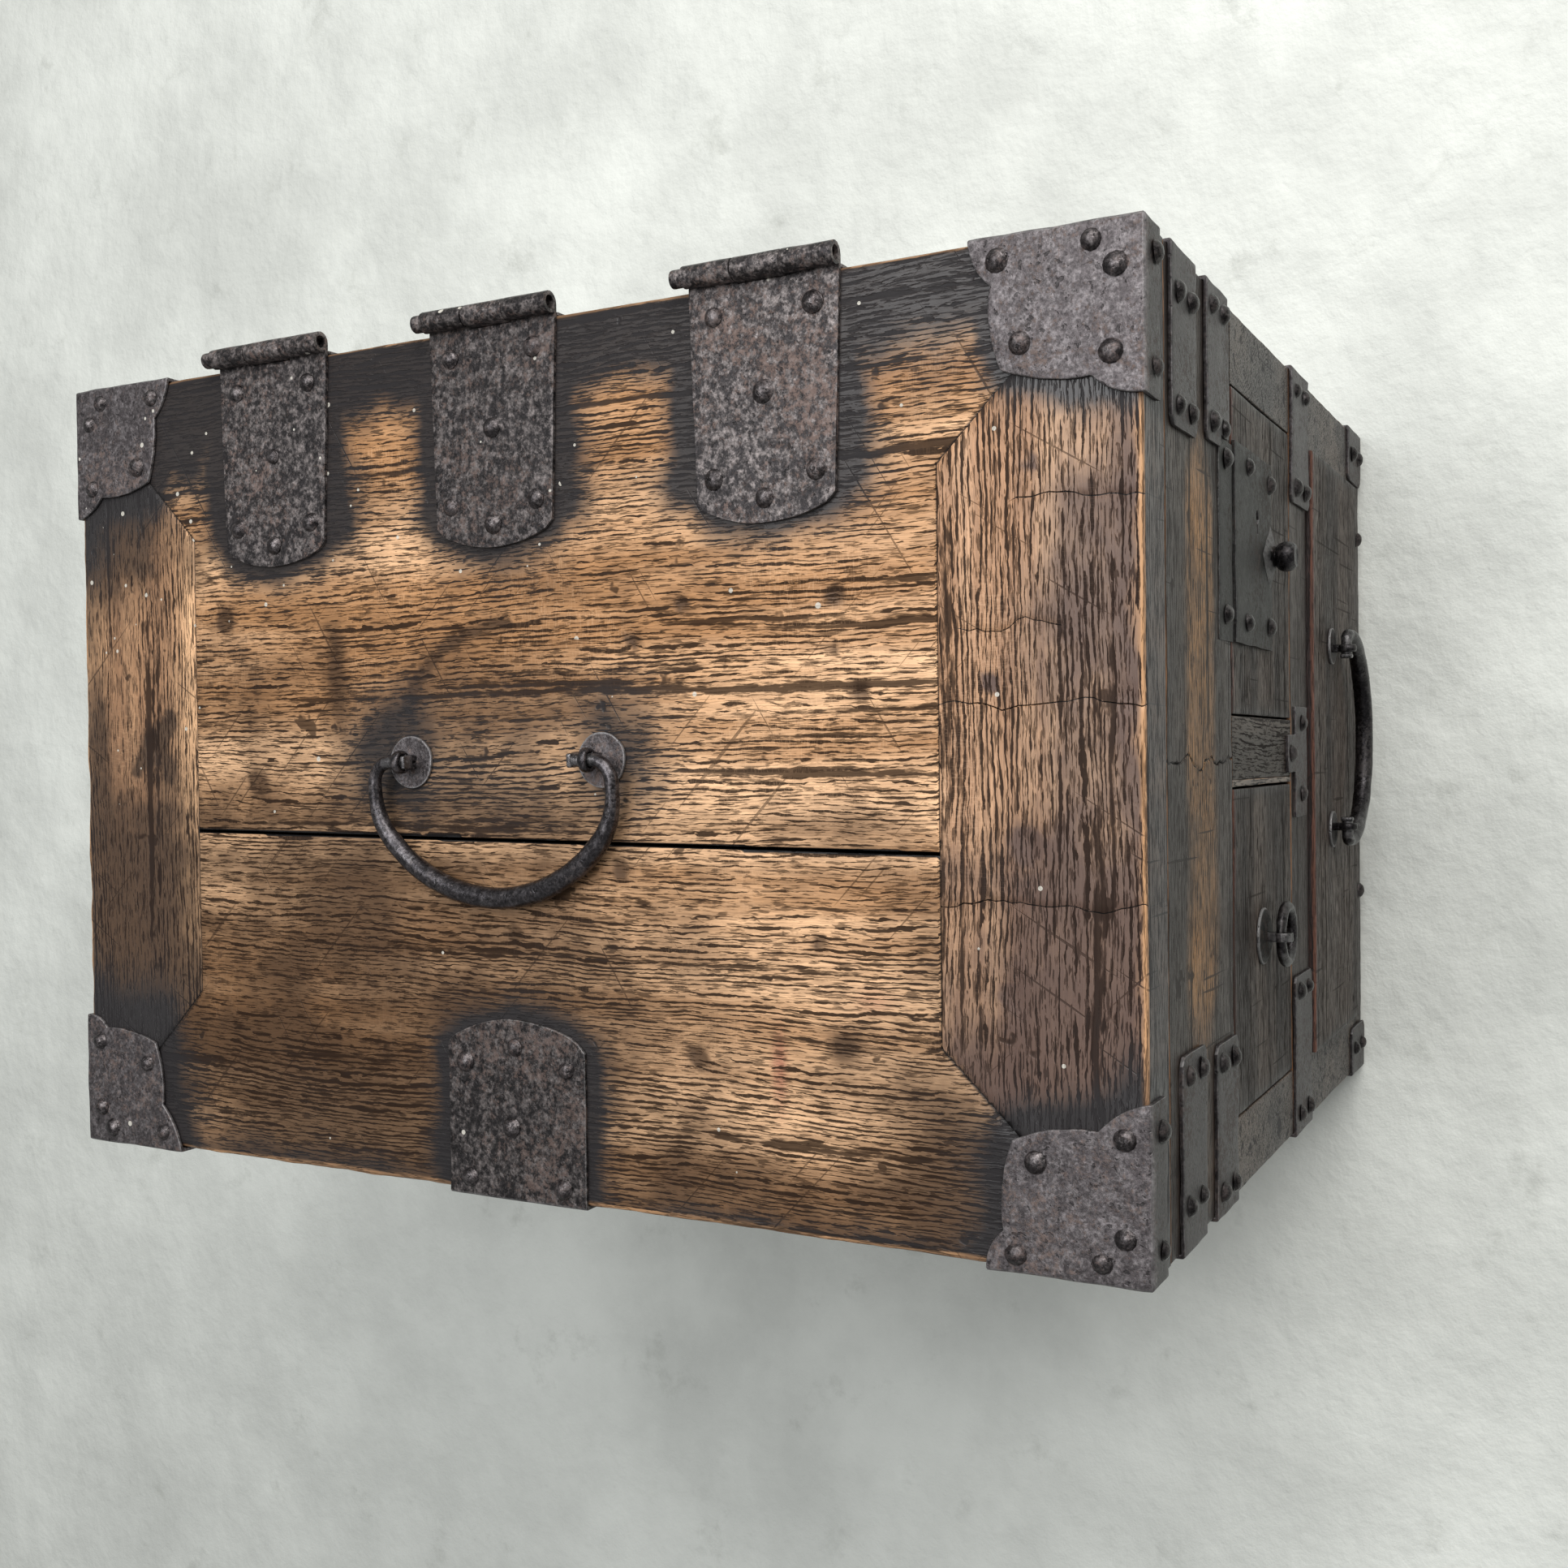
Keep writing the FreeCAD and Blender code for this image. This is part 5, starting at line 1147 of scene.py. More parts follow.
# ---- Iron sheets and nails ---------------------------------------------------------------
@dataclass
class IronSheet:
    """Sheet iron that keeps a CAD node's shape and gets a smith's surface."""

    name: str
    node: str
    body: str
    slot: str
    finish: IronFinish
    cell: float = 4.0
    rim: float = 0.45
    wobble: float = 0.22
    keep_off_axis: Pair | None = None
    rub_share: float = 0.7
    beat: float = 1.0
    # Painted shade along Y: pairs of place and how much darker the sheet is coloured there.
    shade: Sequence[Pair] = ((0.0, 0.0),)

    def build(self) -> Piece:
        """Merges a copy of the node, rounds its rims and beats its faces.

        Returns:
            The finished sheet.
        """
        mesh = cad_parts[self.node].data.copy()
        sheet = bpy.data.objects.new(self.name, mesh)
        bpy.context.scene.collection.objects.link(sheet)
        with editing(sheet):
            bpy.ops.mesh.select_all(action="SELECT")
            bpy.ops.mesh.remove_doubles(threshold=3e-6)
            bpy.ops.mesh.select_all(action="SELECT")
            bpy.ops.mesh.dissolve_limited(angle_limit=math.radians(1.5))
        for layer in list(sheet.data.attributes):
            if layer.name in ("sharp_face", "sharp_edge") or layer.name.startswith("custom_normal"):
                sheet.data.attributes.remove(layer)
        modify(sheet, "BEVEL", width=self.rim * MM, segments=3, limit_method="ANGLE",
               angle_limit=math.radians(40.0))
        for axis in range(3):
            saw_between(sheet, axis, self.cell)
        paint(sheet, "rub", self.rubbed(sheet))
        points = read_mm(sheet)
        paint(sheet, "spray", 0.9 * spray(points))
        shade = np.interp(points[:, 1], *zip(*self.shade))
        paint(sheet, "shade", np.maximum(shade, front_shade(points)))
        beaten = 0.07 * rough(points, 6.0, 2.0) + 0.08 * rough(points, 17.0, 7.0)
        points += normals_of(sheet) * (self.beat * beaten)[:, None]
        for axis in range(3):
            points[:, axis] += self.wobble * rough(points, 13.0, 11.0 + 3.0 * axis)
        write_mm(sheet, points)
        hand_over(sheet, self.finish, self.body, self.slot, self.node, smooth=SHEET_ANGLE)
        return sheet

    def rubbed(self, sheet: Piece) -> np.ndarray:
        """One for vertices on a rounded rim, nought on the flat faces."""
        mesh = sheet.data
        flat = np.abs(pull(mesh.polygons, "normal", 3)).max(axis=1) > 0.99
        totals = pull(mesh.polygons, "loop_total", kind=np.int32)
        corners = pull(mesh.loops, "vertex_index", kind=np.int32)
        touched = np.zeros(len(mesh.vertices))
        np.maximum.at(touched, corners, np.repeat(flat, totals).astype(float))
        rub = self.rub_share * (1.0 - touched)
        if self.keep_off_axis:
            away = read_mm(sheet)[:, (0, 2)] - np.array(self.keep_off_axis)
            rub = np.where(np.hypot(*away.T) < BARREL_REACH, rub * 0.15, rub)
        return rub


@dataclass
class Nails:
    """The nail heads of one body, set where the CAD node has them."""

    name: str
    node: str
    body: str
    radius: float = 3.45
    rise: float = 2.35
    sunk: float = 0.25

    def spots(self) -> list[tuple[np.ndarray, np.ndarray]]:
        """The foot and the direction of each nail in the CAD node."""
        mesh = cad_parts[self.node].data
        points = read_mm(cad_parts[self.node])
        keys, index = np.unique(np.round(points, 2), axis=0, return_inverse=True)
        index = index.reshape(-1)
        corners = pull(mesh.loops, "vertex_index", kind=np.int32)
        faces = index[corners].reshape(-1, 3)
        label = np.arange(len(keys))
        while True:
            lowest = label[faces].min(axis=1)
            before = label.copy()
            for corner in range(3):
                np.minimum.at(label, faces[:, corner], lowest)
            if (label == before).all():
                break
        found = []
        for value in np.unique(label):
            part = keys[label == value]
            spread = part.max(axis=0) - part.min(axis=0)
            axis = int(np.argmin(spread))
            across = [k for k in range(3) if k != axis]
            low = part[part[:, axis] < part[:, axis].mean()]
            high = part[part[:, axis] >= part[:, axis].mean()]
            sign = 1.0 if np.ptp(low[:, across]) > np.ptp(high[:, across]) else -1.0
            foot = low if sign > 0 else high
            normal = np.zeros(3)
            normal[axis] = sign
            found.append((foot.mean(axis=0), normal))
        return found

    def head(self) -> Piece:
        """One hammered dome, standing on the origin."""
        deselect()
        bpy.ops.mesh.primitive_uv_sphere_add(segments=12, ring_count=8, radius=self.radius * MM)
        dome = bpy.context.object
        with editing(dome):
            bpy.ops.mesh.select_all(action="SELECT")
            bpy.ops.mesh.bisect(plane_co=(0.0, 0.0, 0.0), plane_no=(0.0, 0.0, 1.0),
                                use_fill=True, clear_inner=True)
            bpy.ops.mesh.select_all(action="SELECT")
            bpy.ops.transform.resize(value=(1.0, 1.0, self.rise / self.radius))
        points = read_mm(dome)
        points[:, :2] *= 1.0 + 0.10 * (points[:, 2:3] < 0.8) * (points[:, 2:3] > -0.1)
        write_mm(dome, points)
        return dome

    def build(self) -> Piece:
        """Sets a dome on every spot, each a little different.

        Returns:
            All the heads in one object.
        """
        master = self.head()
        dice = random.Random(self.node)
        copies = []
        for foot, normal in self.spots():
            size = dice.uniform(0.90, 1.10)
            lean = Vector(normal) + Vector([dice.uniform(-0.09, 0.09) for _ in range(3)])
            turn = lean.to_track_quat("Z", "Y").to_matrix().to_4x4()
            spin = Matrix.Rotation(dice.uniform(0.0, 6.28), 4, "Z")
            stretch = Matrix.Diagonal((size * dice.uniform(0.93, 1.07), size, size, 1.0))
            place = Matrix.Translation(Vector((foot - self.sunk * normal) * MM))
            copies.append(duplicate(master, place @ turn @ spin @ stretch))
        bpy.data.objects.remove(master)
        deselect()
        for copy in copies:
            copy.select_set(True)
        bpy.context.view_layer.objects.active = copies[0]
        bpy.ops.object.transform_apply(location=True, rotation=True, scale=True)
        heads = join(copies, self.name)
        swell(heads, (0.10, 2.2, 5.0))
        paint(heads, "rub", 0.25 + 0.3 * rough(read_mm(heads), 3.0, 1.0))
        hand_over(heads, NAIL_IRON, self.body, "nail_iron", self.node, smooth=NAIL_ANGLE)
        return heads


# ---- Handles -----------------------------------------------------------------------------
def dish(disc: Piece, *steps: Pair) -> None:
    """Insets the top of a disc ring by ring and lifts or sinks what is inside.

    Args:
        disc: the disc, lying on the origin.
        steps: the width and the lift of each ring, in millimetres.
    """
    for inset, lift in steps:
        with editing(disc) as mesh:
            pick_faces(mesh, lambda middle, normal: normal.z > 0.9 and middle.xy.length < 0.5)
            bpy.ops.mesh.inset(thickness=inset * MM)
            bpy.ops.transform.translate(value=(0.0, 0.0, lift * MM))


@dataclass
class Bail:
    """A swinging handle with its two eyes and washers. Sizes are millimetres."""

    prefix: str
    swing_body: str
    seat_body: str
    axis_point: Triple
    eye_half: float
    washer_half: float
    widest: float
    drop: float
    slack: float
    standoff: float
    washer_r: float
    slip: float = 0.0
    upright: bool = False
    neck_r: float = 2.5
    grip_r: float = 4.2
    eye_width: float = 3.5

    def place(self) -> Matrix:
        """From the flat drawing, eyes along Y and grip towards -X, to the chest."""
        spot = Matrix.Translation(Vector(self.axis_point) * MM)
        if not self.upright:
            return spot
        for axis in "XZ":
            spot = spot @ Matrix.Rotation(math.pi / 2.0, 4, axis)
        return spot

    def line(self) -> list[Triple]:
        """Half the middle line from neck to grip: x, y and radius."""
        neck_end = self.eye_half + self.eye_width / 2.0 + self.slack
        bend = self.widest - neck_end
        shoulder = bend + 4.0
        side_r = 0.5 * self.widest
        off = self.widest - side_r
        span = self.drop - shoulder
        grip_r = (off * off + span * span - side_r * side_r) / (2.0 * (span - side_r))
        grip_x = grip_r - self.drop
        lean = math.atan2(off, shoulder + grip_x)
        spots = []
        for k in range(9):
            turn = math.pi / 2.0 * k / 8.0
            spots.append((-bend * (1.0 - math.cos(turn)), neck_end + bend * math.sin(turn)))
        for k in range(14):
            turn = (math.pi / 2.0 - lean) * k / 14.0
            spots.append((-shoulder - side_r * math.sin(turn), off + side_r * math.cos(turn)))
        for k in range(15):
            turn = lean * (1.0 - k / 14.0)
            spots.append((grip_x - grip_r * math.cos(turn), grip_r * math.sin(turn)))
        line = []
        for k, (x, y) in enumerate(spots):
            share = k / (len(spots) - 1)
            eased = share * share * (3.0 - 2.0 * share)
            line.append((x, y, self.neck_r + (self.grip_r - self.neck_r) * eased))
        return line

    def swing(self) -> Piece:
        """The bail itself: a tapered rod on its middle line, with upset square tips."""
        half = self.line()
        tip = self.eye_half - self.eye_width / 2.0 - self.slack
        points = [(0.0, tip, self.neck_r)] + half
        points += [(x, -y, r) for x, y, r in reversed(points[:-1])]
        curve = bpy.data.curves.new(self.prefix, "CURVE")
        curve.dimensions = "3D"
        curve.bevel_depth = MM
        curve.bevel_resolution = 5
        curve.use_fill_caps = True
        spline = curve.splines.new("POLY")
        spline.points.add(len(points) - 1)
        for spot, (x, y, radius) in zip(spline.points, points):
            spot.co = (x * MM, y * MM, 0.0, 1.0)
            spot.radius = radius
        rod = bpy.data.objects.new(self.prefix, curve)
        bpy.context.scene.collection.objects.link(rod)
        hold(rod)
        bpy.ops.object.convert(target="MESH")
        rod = bpy.context.object
        parts = [rod]
        for sign in (1.0, -1.0):
            deselect()
            bpy.ops.mesh.primitive_cube_add(size=1.0, location=(0.0, sign * (tip - 1.0) * MM, 0.0))
            block = added((5.3 * MM, 2.1 * MM, 5.3 * MM))
            modify(block, "BEVEL", width=0.7 * MM, segments=3)
            parts.append(block)
        rod = join(parts, self.prefix + "_rod")
        swell(rod, (0.16, 11.0, 2.5), (0.10, 4.0, 8.5))
        points = read_mm(rod)
        near_neck = np.abs(np.abs(points[:, 1]) - self.eye_half) < 6.0
        near_neck &= np.abs(points[:, 0]) < 4.0
        paint(rod, "rub", np.where(near_neck, 0.65, 0.30 + 0.3 * rough(points, 9.0, 4.0)))
        if not self.upright:
            fall = math.asin((self.standoff - self.grip_r - 0.3) / self.drop)
            slipped = Matrix.Translation((0.0, self.slip * MM, 0.0))
            rod.matrix_world = self.place() @ slipped @ Matrix.Rotation(-fall, 4, "Y")
        else:
            rod.matrix_world = self.place()
        settle(rod)
        return rod

    def eye(self) -> Piece:
        """A flat bar bent into an eye, its two ends together down through the washer."""
        outer, hole = 4.6, self.neck_r + 0.1
        deselect()
        bpy.ops.mesh.primitive_torus_add(
            major_segments=28, minor_segments=10, major_radius=(outer + hole) / 2.0 * MM,
            minor_radius=(outer - hole) / 2.0 * MM, rotation=(math.pi / 2.0, 0.0, 0.0))
        loop = added((1.0, 1.0, self.eye_width / (outer - hole)))
        points = read_mm(loop)
        half = self.eye_width / 2.0
        points[:, 1] = np.sign(points[:, 1]) * half * np.abs(points[:, 1] / half) ** 0.6
        write_mm(loop, points)
        legs = []
        for sign in (-1.0, 1.0):
            deselect()
            bpy.ops.mesh.primitive_cube_add(
                size=1.0, location=(sign * 1.25 * MM, 0.0, -(self.standoff + hole) / 2.0 * MM))
            leg = added((2.4 * MM, self.eye_width * MM, (self.standoff + 1.0 - hole) * MM))
            with editing(leg) as mesh:
                pick_faces(mesh, lambda middle, normal: normal.z > 0.9)
                bpy.ops.transform.translate(value=(sign * 0.9 * MM, 0.0, 1.2 * MM))
            modify(leg, "BEVEL", width=0.45 * MM, segments=2)
            legs.append(leg)
        return join([loop, *legs], self.prefix + "_eye")

    def washer(self) -> Piece:
        """A dished round plate with a rolled rim."""
        deselect()
        bpy.ops.mesh.primitive_cylinder_add(vertices=36, radius=self.washer_r * MM, depth=1.3 * MM,
                                            location=(0.0, 0.0, 0.65 * MM))
        disc = added()
        dish(disc, (1.1, -0.15), (2.6, -0.25), (2.6, 0.1), (1.6, 0.35))
        modify(disc, "BEVEL", width=0.35 * MM, segments=2, limit_method="ANGLE",
               angle_limit=math.radians(40.0))
        points = read_mm(disc)
        radial = np.linalg.norm(points[:, :2], axis=1)
        points[:, :2] *= (1.0 + 0.022 * rough(points, 7.0, 6.0))[:, None]
        points[:, 2] += np.where(points[:, 2] > 0.4, 0.10 * rough(points, 4.0, 1.0), 0.0)
        write_mm(disc, points)
        paint(disc, "rub", np.exp(-((self.washer_r - radial) / 0.8) ** 2))
        return disc

    def build(self) -> None:
        """Makes and places the bail, its eyes and its washers."""
        rod = self.swing()
        hand_over(rod, BAIL_IRON, self.swing_body, "bail_iron", self.prefix, smooth=ROD_ANGLE)
        eyes = self.pair(self.eye, "_eye_pair", self.eye_half, 0.0)
        swell(eyes, (0.10, 3.0, 2.0))
        paint(eyes, "rub", 0.35 + 0.4 * rough(read_mm(eyes), 3.0, 7.0))
        hand_over(eyes, BAIL_IRON, self.seat_body, "bail_iron", self.prefix + "_eyes",
                  smooth=ROD_ANGLE)
        discs = self.pair(self.washer, "_washer_pair", self.washer_half, -self.standoff)
        hand_over(discs, STRAP_IRON, self.seat_body, "bail_iron", self.prefix + "_washers")

    def pair(self, make: Callable[[], Piece], ending: str, half: float,
             lift: float) -> Piece:
        """Two alike pieces, one at each end of the bail.

        Args:
            make: makes one of them.
            ending: what the pair's name ends with.
            half: how far each is from the middle.
            lift: how far each is above the axis.

        Returns:
            Both in one object.
        """
        pieces = []
        for sign in (-1.0, 1.0):
            piece = make()
            piece.matrix_world = self.place() @ Matrix.Translation(
                (0.0, sign * half * MM, lift * MM))
            settle(piece)
            pieces.append(piece)
        return join(pieces, self.prefix + ending)


# ---- Sub-assemblies ----------------------------------------------------------------------
@dataclass
class Lid:
    """Two boards with an open joint between mitred end battens, under cusped iron."""

    # Where the open joint is at the front and at the back, and how wide it is.
    joint_front: float = -32.0
    joint_back: float = -27.7
    joint_gap: float = 1.2
    # The outline of each corner plate, from the lid's corner: along the end, along the side.
    corners: dict[str, Sequence[Pair]] = field(default_factory=lambda: {
        "front_right": ((0.0, 56.7), (14.4, 49.1), (41.5, 46.0), (47.0, 16.0), (53.8, 0.0)),
        "front_left": ((0.0, 53.6), (12.2, 47.7), (41.7, 44.4), (47.0, 16.0), (56.8, 0.0)),
        "back_right": ((0.0, 56.4), (15.1, 47.8), (42.4, 43.2), (46.4, 13.8), (55.1, 0.0)),
        "back_left": ((0.0, 56.8), (17.8, 46.0), (44.5, 41.9), (49.3, 11.4), (54.8, 0.0)),
    })
    dints: Sequence[Dint] = (
        Dint(54.7, -133.7, 5.5, 1.8, 55.0, 0.9), Dint(43.2, -51.8, 4.0, 2.6, 20.0, 0.8),
        Dint(24.1, -188.8, 3.5, 1.6, 70.0, 0.6), Dint(93.2, -203.2, 3.2, 2.2, 15.0, 0.7),
        Dint(-28.2, -200.6, 6.5, 2.2, 5.0, 1.1), Dint(36.9, -132.0, 3.6, 2.8, 0.0, 0.7),
        Dint(60.9, 153.7, 4.6, 3.0, 40.0, 0.7), Dint(-105.1, -76.9, 5.0, 4.0, 0.0, 0.8),
        Dint(-126.4, 96.4, 4.2, 2.8, 80.0, 0.7), Dint(-39.2, -45.1, 4.4, 1.8, 60.0, 0.6),
        Dint(-7.5, 136.6, 3.6, 3.0, 0.0, 0.6), Dint(-77.8, -196.0, 5.0, 2.4, 20.0, 0.6),
        Dint(-62.5, -126.0, 4.0, 1.6, 60.0, 0.6), Dint(55.8, -72.6, 4.2, 1.6, 60.0, 0.7),
        Dint(22.9, -142.4, 5.0, 1.5, 45.0, 0.6), Dint(-48.6, 86.1, 4.0, 2.0, 90.0, 0.5),
        Dint(-64.9, 3.1, 3.4, 2.4, 0.0, 0.6), Dint(17.6, -234.0, 3.2, 3.0, 0.0, 0.9),
        Dint(8.0, 196.0, 9.0, 3.0, 30.0, 0.7),
    )

    # Ragged dark spots: x, y, half width, half height, darkness.
    spots: Sequence[tuple[float, float, float, float, float]] = (
        (62.0, 152.0, 4.6, 3.4, 1.0), (-7.9, 134.6, 4.2, 3.6, 0.9),
        (36.4, 90.6, 17.0, 4.5, 0.6), (14.0, 231.0, 24.0, 5.0, 0.7),
        (-25.0, 229.0, 12.0, 4.0, 0.35), (-1.4, 187.5, 5.0, 3.2, 0.8),
        (98.8, 207.6, 13.0, 12.0, 0.6), (98.0, 230.0, 16.0, 7.0, 0.7),
        (-50.0, 227.0, 20.0, 5.0, 0.30), (-97.7, -135.6, 4.0, 5.0, 0.8),
        (-30.0, -218.0, 14.0, 8.0, 0.5), (58.0, -219.0, 26.0, 9.0, 0.35),
        (-118.0, 118.0, 12.0, 20.0, 0.5), (-66.0, 150.0, 5.0, 16.0, 0.4),
        (85.0, 168.0, 10.0, 6.0, 0.5),
    )
    # Soft dirty patches: darkness, centre, half sizes, how sharply they end.
    smudges: Sequence[tuple[float, Pair, Pair, float]] = (
        (0.60, (-150.0, -205.0), (55.0, 48.0), 2.0), (0.45, (-150.0, 205.0), (50.0, 50.0), 2.0),
        (0.38, (4.0, 6.0), (36.0, 96.0), 4.0), (0.22, (40.0, 98.0), (18.0, 14.0), 2.0),
        (0.24, (2.0, 128.0), (30.0, 48.0), 2.0),
    )

    def iron_outlines(self) -> list[tuple[list[Pair], float]]:
        """The outline of each iron piece on the lid, and how far its stain reaches."""
        reaches = {"front_right": 9.0, "front_left": 12.0, "back_right": 16.0, "back_left": 20.0}
        items = []
        for name, outline in self.corners.items():
            end, side = name.split("_")
            flip_x = 1.0 if side == "right" else -1.0
            flip_y = 1.0 if end == "front" else -1.0
            corner = [(flip_x * HALF_W, flip_y * FRONT_Y)]
            corner += [(flip_x * (HALF_W - a), flip_y * (FRONT_Y + b)) for a, b in outline]
            items.append((corner, reaches[name]))
        leaf_reach, leaf_half, leaf_stain = -78.0, 29.5, 13.0
        for centre in HINGE_Y:
            items.append((self.tongue(HALF_W, leaf_reach, centre, leaf_half), leaf_stain))
        strap_reach, strap_y, strap_half, strap_stain = 63.0, 3.0, 32.0, 8.5
        items.append((self.tongue(-HALF_W, strap_reach, strap_y, strap_half), strap_stain))
        return items

    @staticmethod
    def tongue(edge: float, reach: float, centre: float, half: float) -> list[Pair]:
        """The outline of a strap that ends in an arch.

        Args:
            edge: where it starts along X.
            reach: how far it goes, with its sign.
            centre: its middle along Y.
            half: half its width.

        Returns:
            The corners of the outline.
        """
        arch = ((0.0, -1.0), (0.84, -1.0), (0.96, -0.62), (1.0, 0.0), (0.96, 0.62), (0.84, 1.0),
                (0.0, 1.0))
        return [(edge + reach * along, centre + half * across) for along, across in arch]

    @staticmethod
    def in_batten(x: np.ndarray, y: np.ndarray) -> np.ndarray:
        """One on the end battens, nought on the long boards."""
        past = np.abs(y) - (BACK_Y - BATTEN) - np.clip(np.abs(x) - (HALF_W - BATTEN), 0.0, None)
        return np.clip(past / 0.8, 0.0, 1.0)

    def stain(self, points: np.ndarray) -> np.ndarray:
        """How black the iron has turned the wood beside it, and the painted shade on the lid's
        front face.
        """
        waves = np.stack([rough(points, 19.0, 1.0), rough(points, 19.0, 4.0)], 1)
        plane = points[:, :2] + 2.5 * waves
        x, y = plane[:, 0], plane[:, 1]
        value = np.zeros(len(points))
        for outline, reach in self.iron_outlines():
            value = np.maximum(value, np.exp(-(outside_distance(plane, outline) / reach) ** 1.3))
        for seat_y in (-46.0, 60.0):
            away = np.hypot((x - 4.0) * 1.1 + 4.0 * rough(points, 26.0, 8.0), y - seat_y)
            value = np.maximum(value, 0.58 * np.exp(-(away / 31.0) ** 2.4))
        value = np.maximum(value, 0.28 * patch(x, y, (2.0, 6.0), (31.0, 88.0), 4.0))
        # Painted shade: the lid's whole front face, turned from the light, is darkened.
        value = np.where(points[:, 1] < FRONT_Y + 0.2, np.maximum(value, 0.48), value)
        nearest = np.min([np.abs(y - centre) for centre in HINGE_Y], axis=0)
        depth = 33.0 - 8.0 * ramp(nearest, 29.0, 30.0) + 6.0 * rough(points, 45.0, 2.0)
        depth += 17.0 * ramp(y, 150.0, 18.0) + 4.0 * ramp(-y, 132.0, 20.0)
        away = np.clip(HALF_W - x, 0.0, None) / np.maximum(depth * 1.12, 8.0)
        value = np.maximum(value, np.exp(-away ** 2.3))
        low_edge = np.clip(HALF_W + x, 0.0, None)
        spread = 7.0 + 20.0 * ramp(y, 120.0, 90.0) + 4.0 * rough(points, 38.0, 3.0)
        value = np.maximum(value, 0.52 * np.exp(-(low_edge / np.maximum(spread, 3.0)) ** 1.6))
        back_edge = np.clip(BACK_Y - y, 0.0, None)
        ends = ramp(np.abs(x + 5.0), 70.0, 50.0)
        fade = np.exp(-(back_edge / (9.0 + 22.0 * ends)) ** 1.6)
        return np.maximum(value, (0.32 + 0.48 * ends) * fade)

    def soil(self, points: np.ndarray) -> np.ndarray:
        """How dirty and darkened the wood is away from the iron."""
        x, y = points[:, 0], points[:, 1]
        low_board = ramp(-x, 28.0, 12.0)
        value = 0.18 + 0.10 * ramp(y, 20.0, 150.0)
        value += low_board * (0.19 + 0.37 * ramp(y, -95.0, 120.0) + 0.34 * ramp(-x, 100.0, 45.0))
        for amount, centre, half, power in self.smudges:
            value += amount * patch(x, y, centre, half, power)
        value += 0.38 * np.exp(-((x + 24.0) / 14.0) ** 2) * ramp(y, -171.0, 12.0)
        value += 0.30 * ramp(np.abs(y), 226.0, 14.0)
        front = self.in_batten(x, y) * (y < 0.0)
        outer = ramp(-y, 190.0, 25.0)
        value += front * (0.44 * outer + 0.14 * ramp(-x, -60.0, 60.0) - 0.08)
        value += 0.26 * front * outer * np.exp(-((x - 45.0) / 45.0) ** 2)
        value += 0.40 * front * ramp(-x, 70.0, 50.0)
        back = self.in_batten(x, y) * (y > 0.0)
        value += 0.44 * back * ramp(np.abs(x + 5.0), 55.0, 70.0)
        value += 0.20 * back * ramp(y, 205.0, 25.0)
        scratch = [(-3.0, 209.0), (-2.0, 206.5), (17.5, 184.5), (21.0, 186.5)]
        away = outside_distance(points[:, :2], scratch) + 0.8 * rough(points, 6.0, 3.0)
        value += 1.1 * np.exp(-(away / 1.9) ** 2)
        ragged = 0.3 * rough(points, 9.0, 5.0)
        for spot_x, spot_y, half_x, half_y, amount in self.spots:
            away = np.hypot((x - spot_x) / half_x, (y - spot_y) / half_y) + ragged
            value += amount * np.exp(-away ** 2)
        ragged = 0.9 * rough(points, 5.0, 9.0)
        for dint in self.dints:
            away = np.clip(np.hypot(x - dint.x, y - dint.y) + ragged, 0.0, None)
            value += np.exp(-(away / (dint.long * 0.72)) ** 3)
        arc = np.abs(np.hypot(x - 2.0, y - 9.0) - 50.0)
        on_arc = (x > 20.0) & (y > 2.0) & (y < 58.0)
        return value + np.where(on_arc, 0.9 * np.exp(-(arc / 1.6) ** 2), 0.0)

    def glow(self, points: np.ndarray) -> np.ndarray:
        """Where old red lacquer shows through."""
        x, y = points[:, 0], points[:, 1]
        return (0.46 * patch(x, y, (-106.0, -110.0), (22.0, 5.0))
                + 0.30 * patch(x, y, (-82.0, -146.0), (8.0, 12.0)))

    def boards(self) -> None:
        """The four pieces of wood."""
        inner_x, inner_y = HALF_W - BATTEN, BACK_Y - BATTEN
        gap = self.joint_gap / 2.0
        worn_x = {"+x+z": 1.6, "-x+z": 2.6, "-x-z": 0.9, "+x-z": 0.9}
        for name, sign in (("right", 1.0), ("left", -1.0)):
            front, back = self.joint_front + sign * gap, self.joint_back + sign * gap
            outline = [(sign * HALF_W, FRONT_Y), (sign * HALF_W, BACK_Y), (sign * inner_x, inner_y),
                       (back, inner_y), (front, -inner_y), (sign * inner_x, -inner_y)]
            xs = [x for x, _ in outline]
            seam = "-x" if sign > 0 else "+x"
            crisp = ["-y+z", "+y+z", "-y-z", "+y-z"]
            crisp += [seam + end for end in ("+z", "-z", "-y", "+y")]
            worn = {**worn_x, **dict.fromkeys(crisp, 0.0)}
            self.lay(name, (min(xs), FRONT_Y, RIM_Z), (max(xs), BACK_Y, LID_TOP), outline, worn,
                     LID_BOARD, "lid_board_" + name, ())
        for name, sign in (("front", -1.0), ("back", 1.0)):
            outline = [(-HALF_W, sign * BACK_Y), (HALF_W, sign * BACK_Y),
                       (inner_x, sign * inner_y), (-inner_x, sign * inner_y)]
            low_y, high_y = sorted((sign * inner_y, sign * BACK_Y))
            outer, inner = ("-y", "+y") if sign < 0 else ("+y", "-y")
            worn = {outer + "+z": 2.0, outer + "-z": 0.9, inner + "+z": 0.0, inner + "-z": 0.0}
            cracks = ()
            if sign < 0:
                cracks = (Crack(0, 16.5, 0.7, 2.4, 0.45), Crack(0, -47.5, 0.7, 2.0, 0.4),
                          Crack(0, 81.0, 0.4, 2.6, 0.35, high=-196.0),
                          Crack(0, 42.0, 0.4, 2.6, 0.35, low=-213.0, high=-178.0))
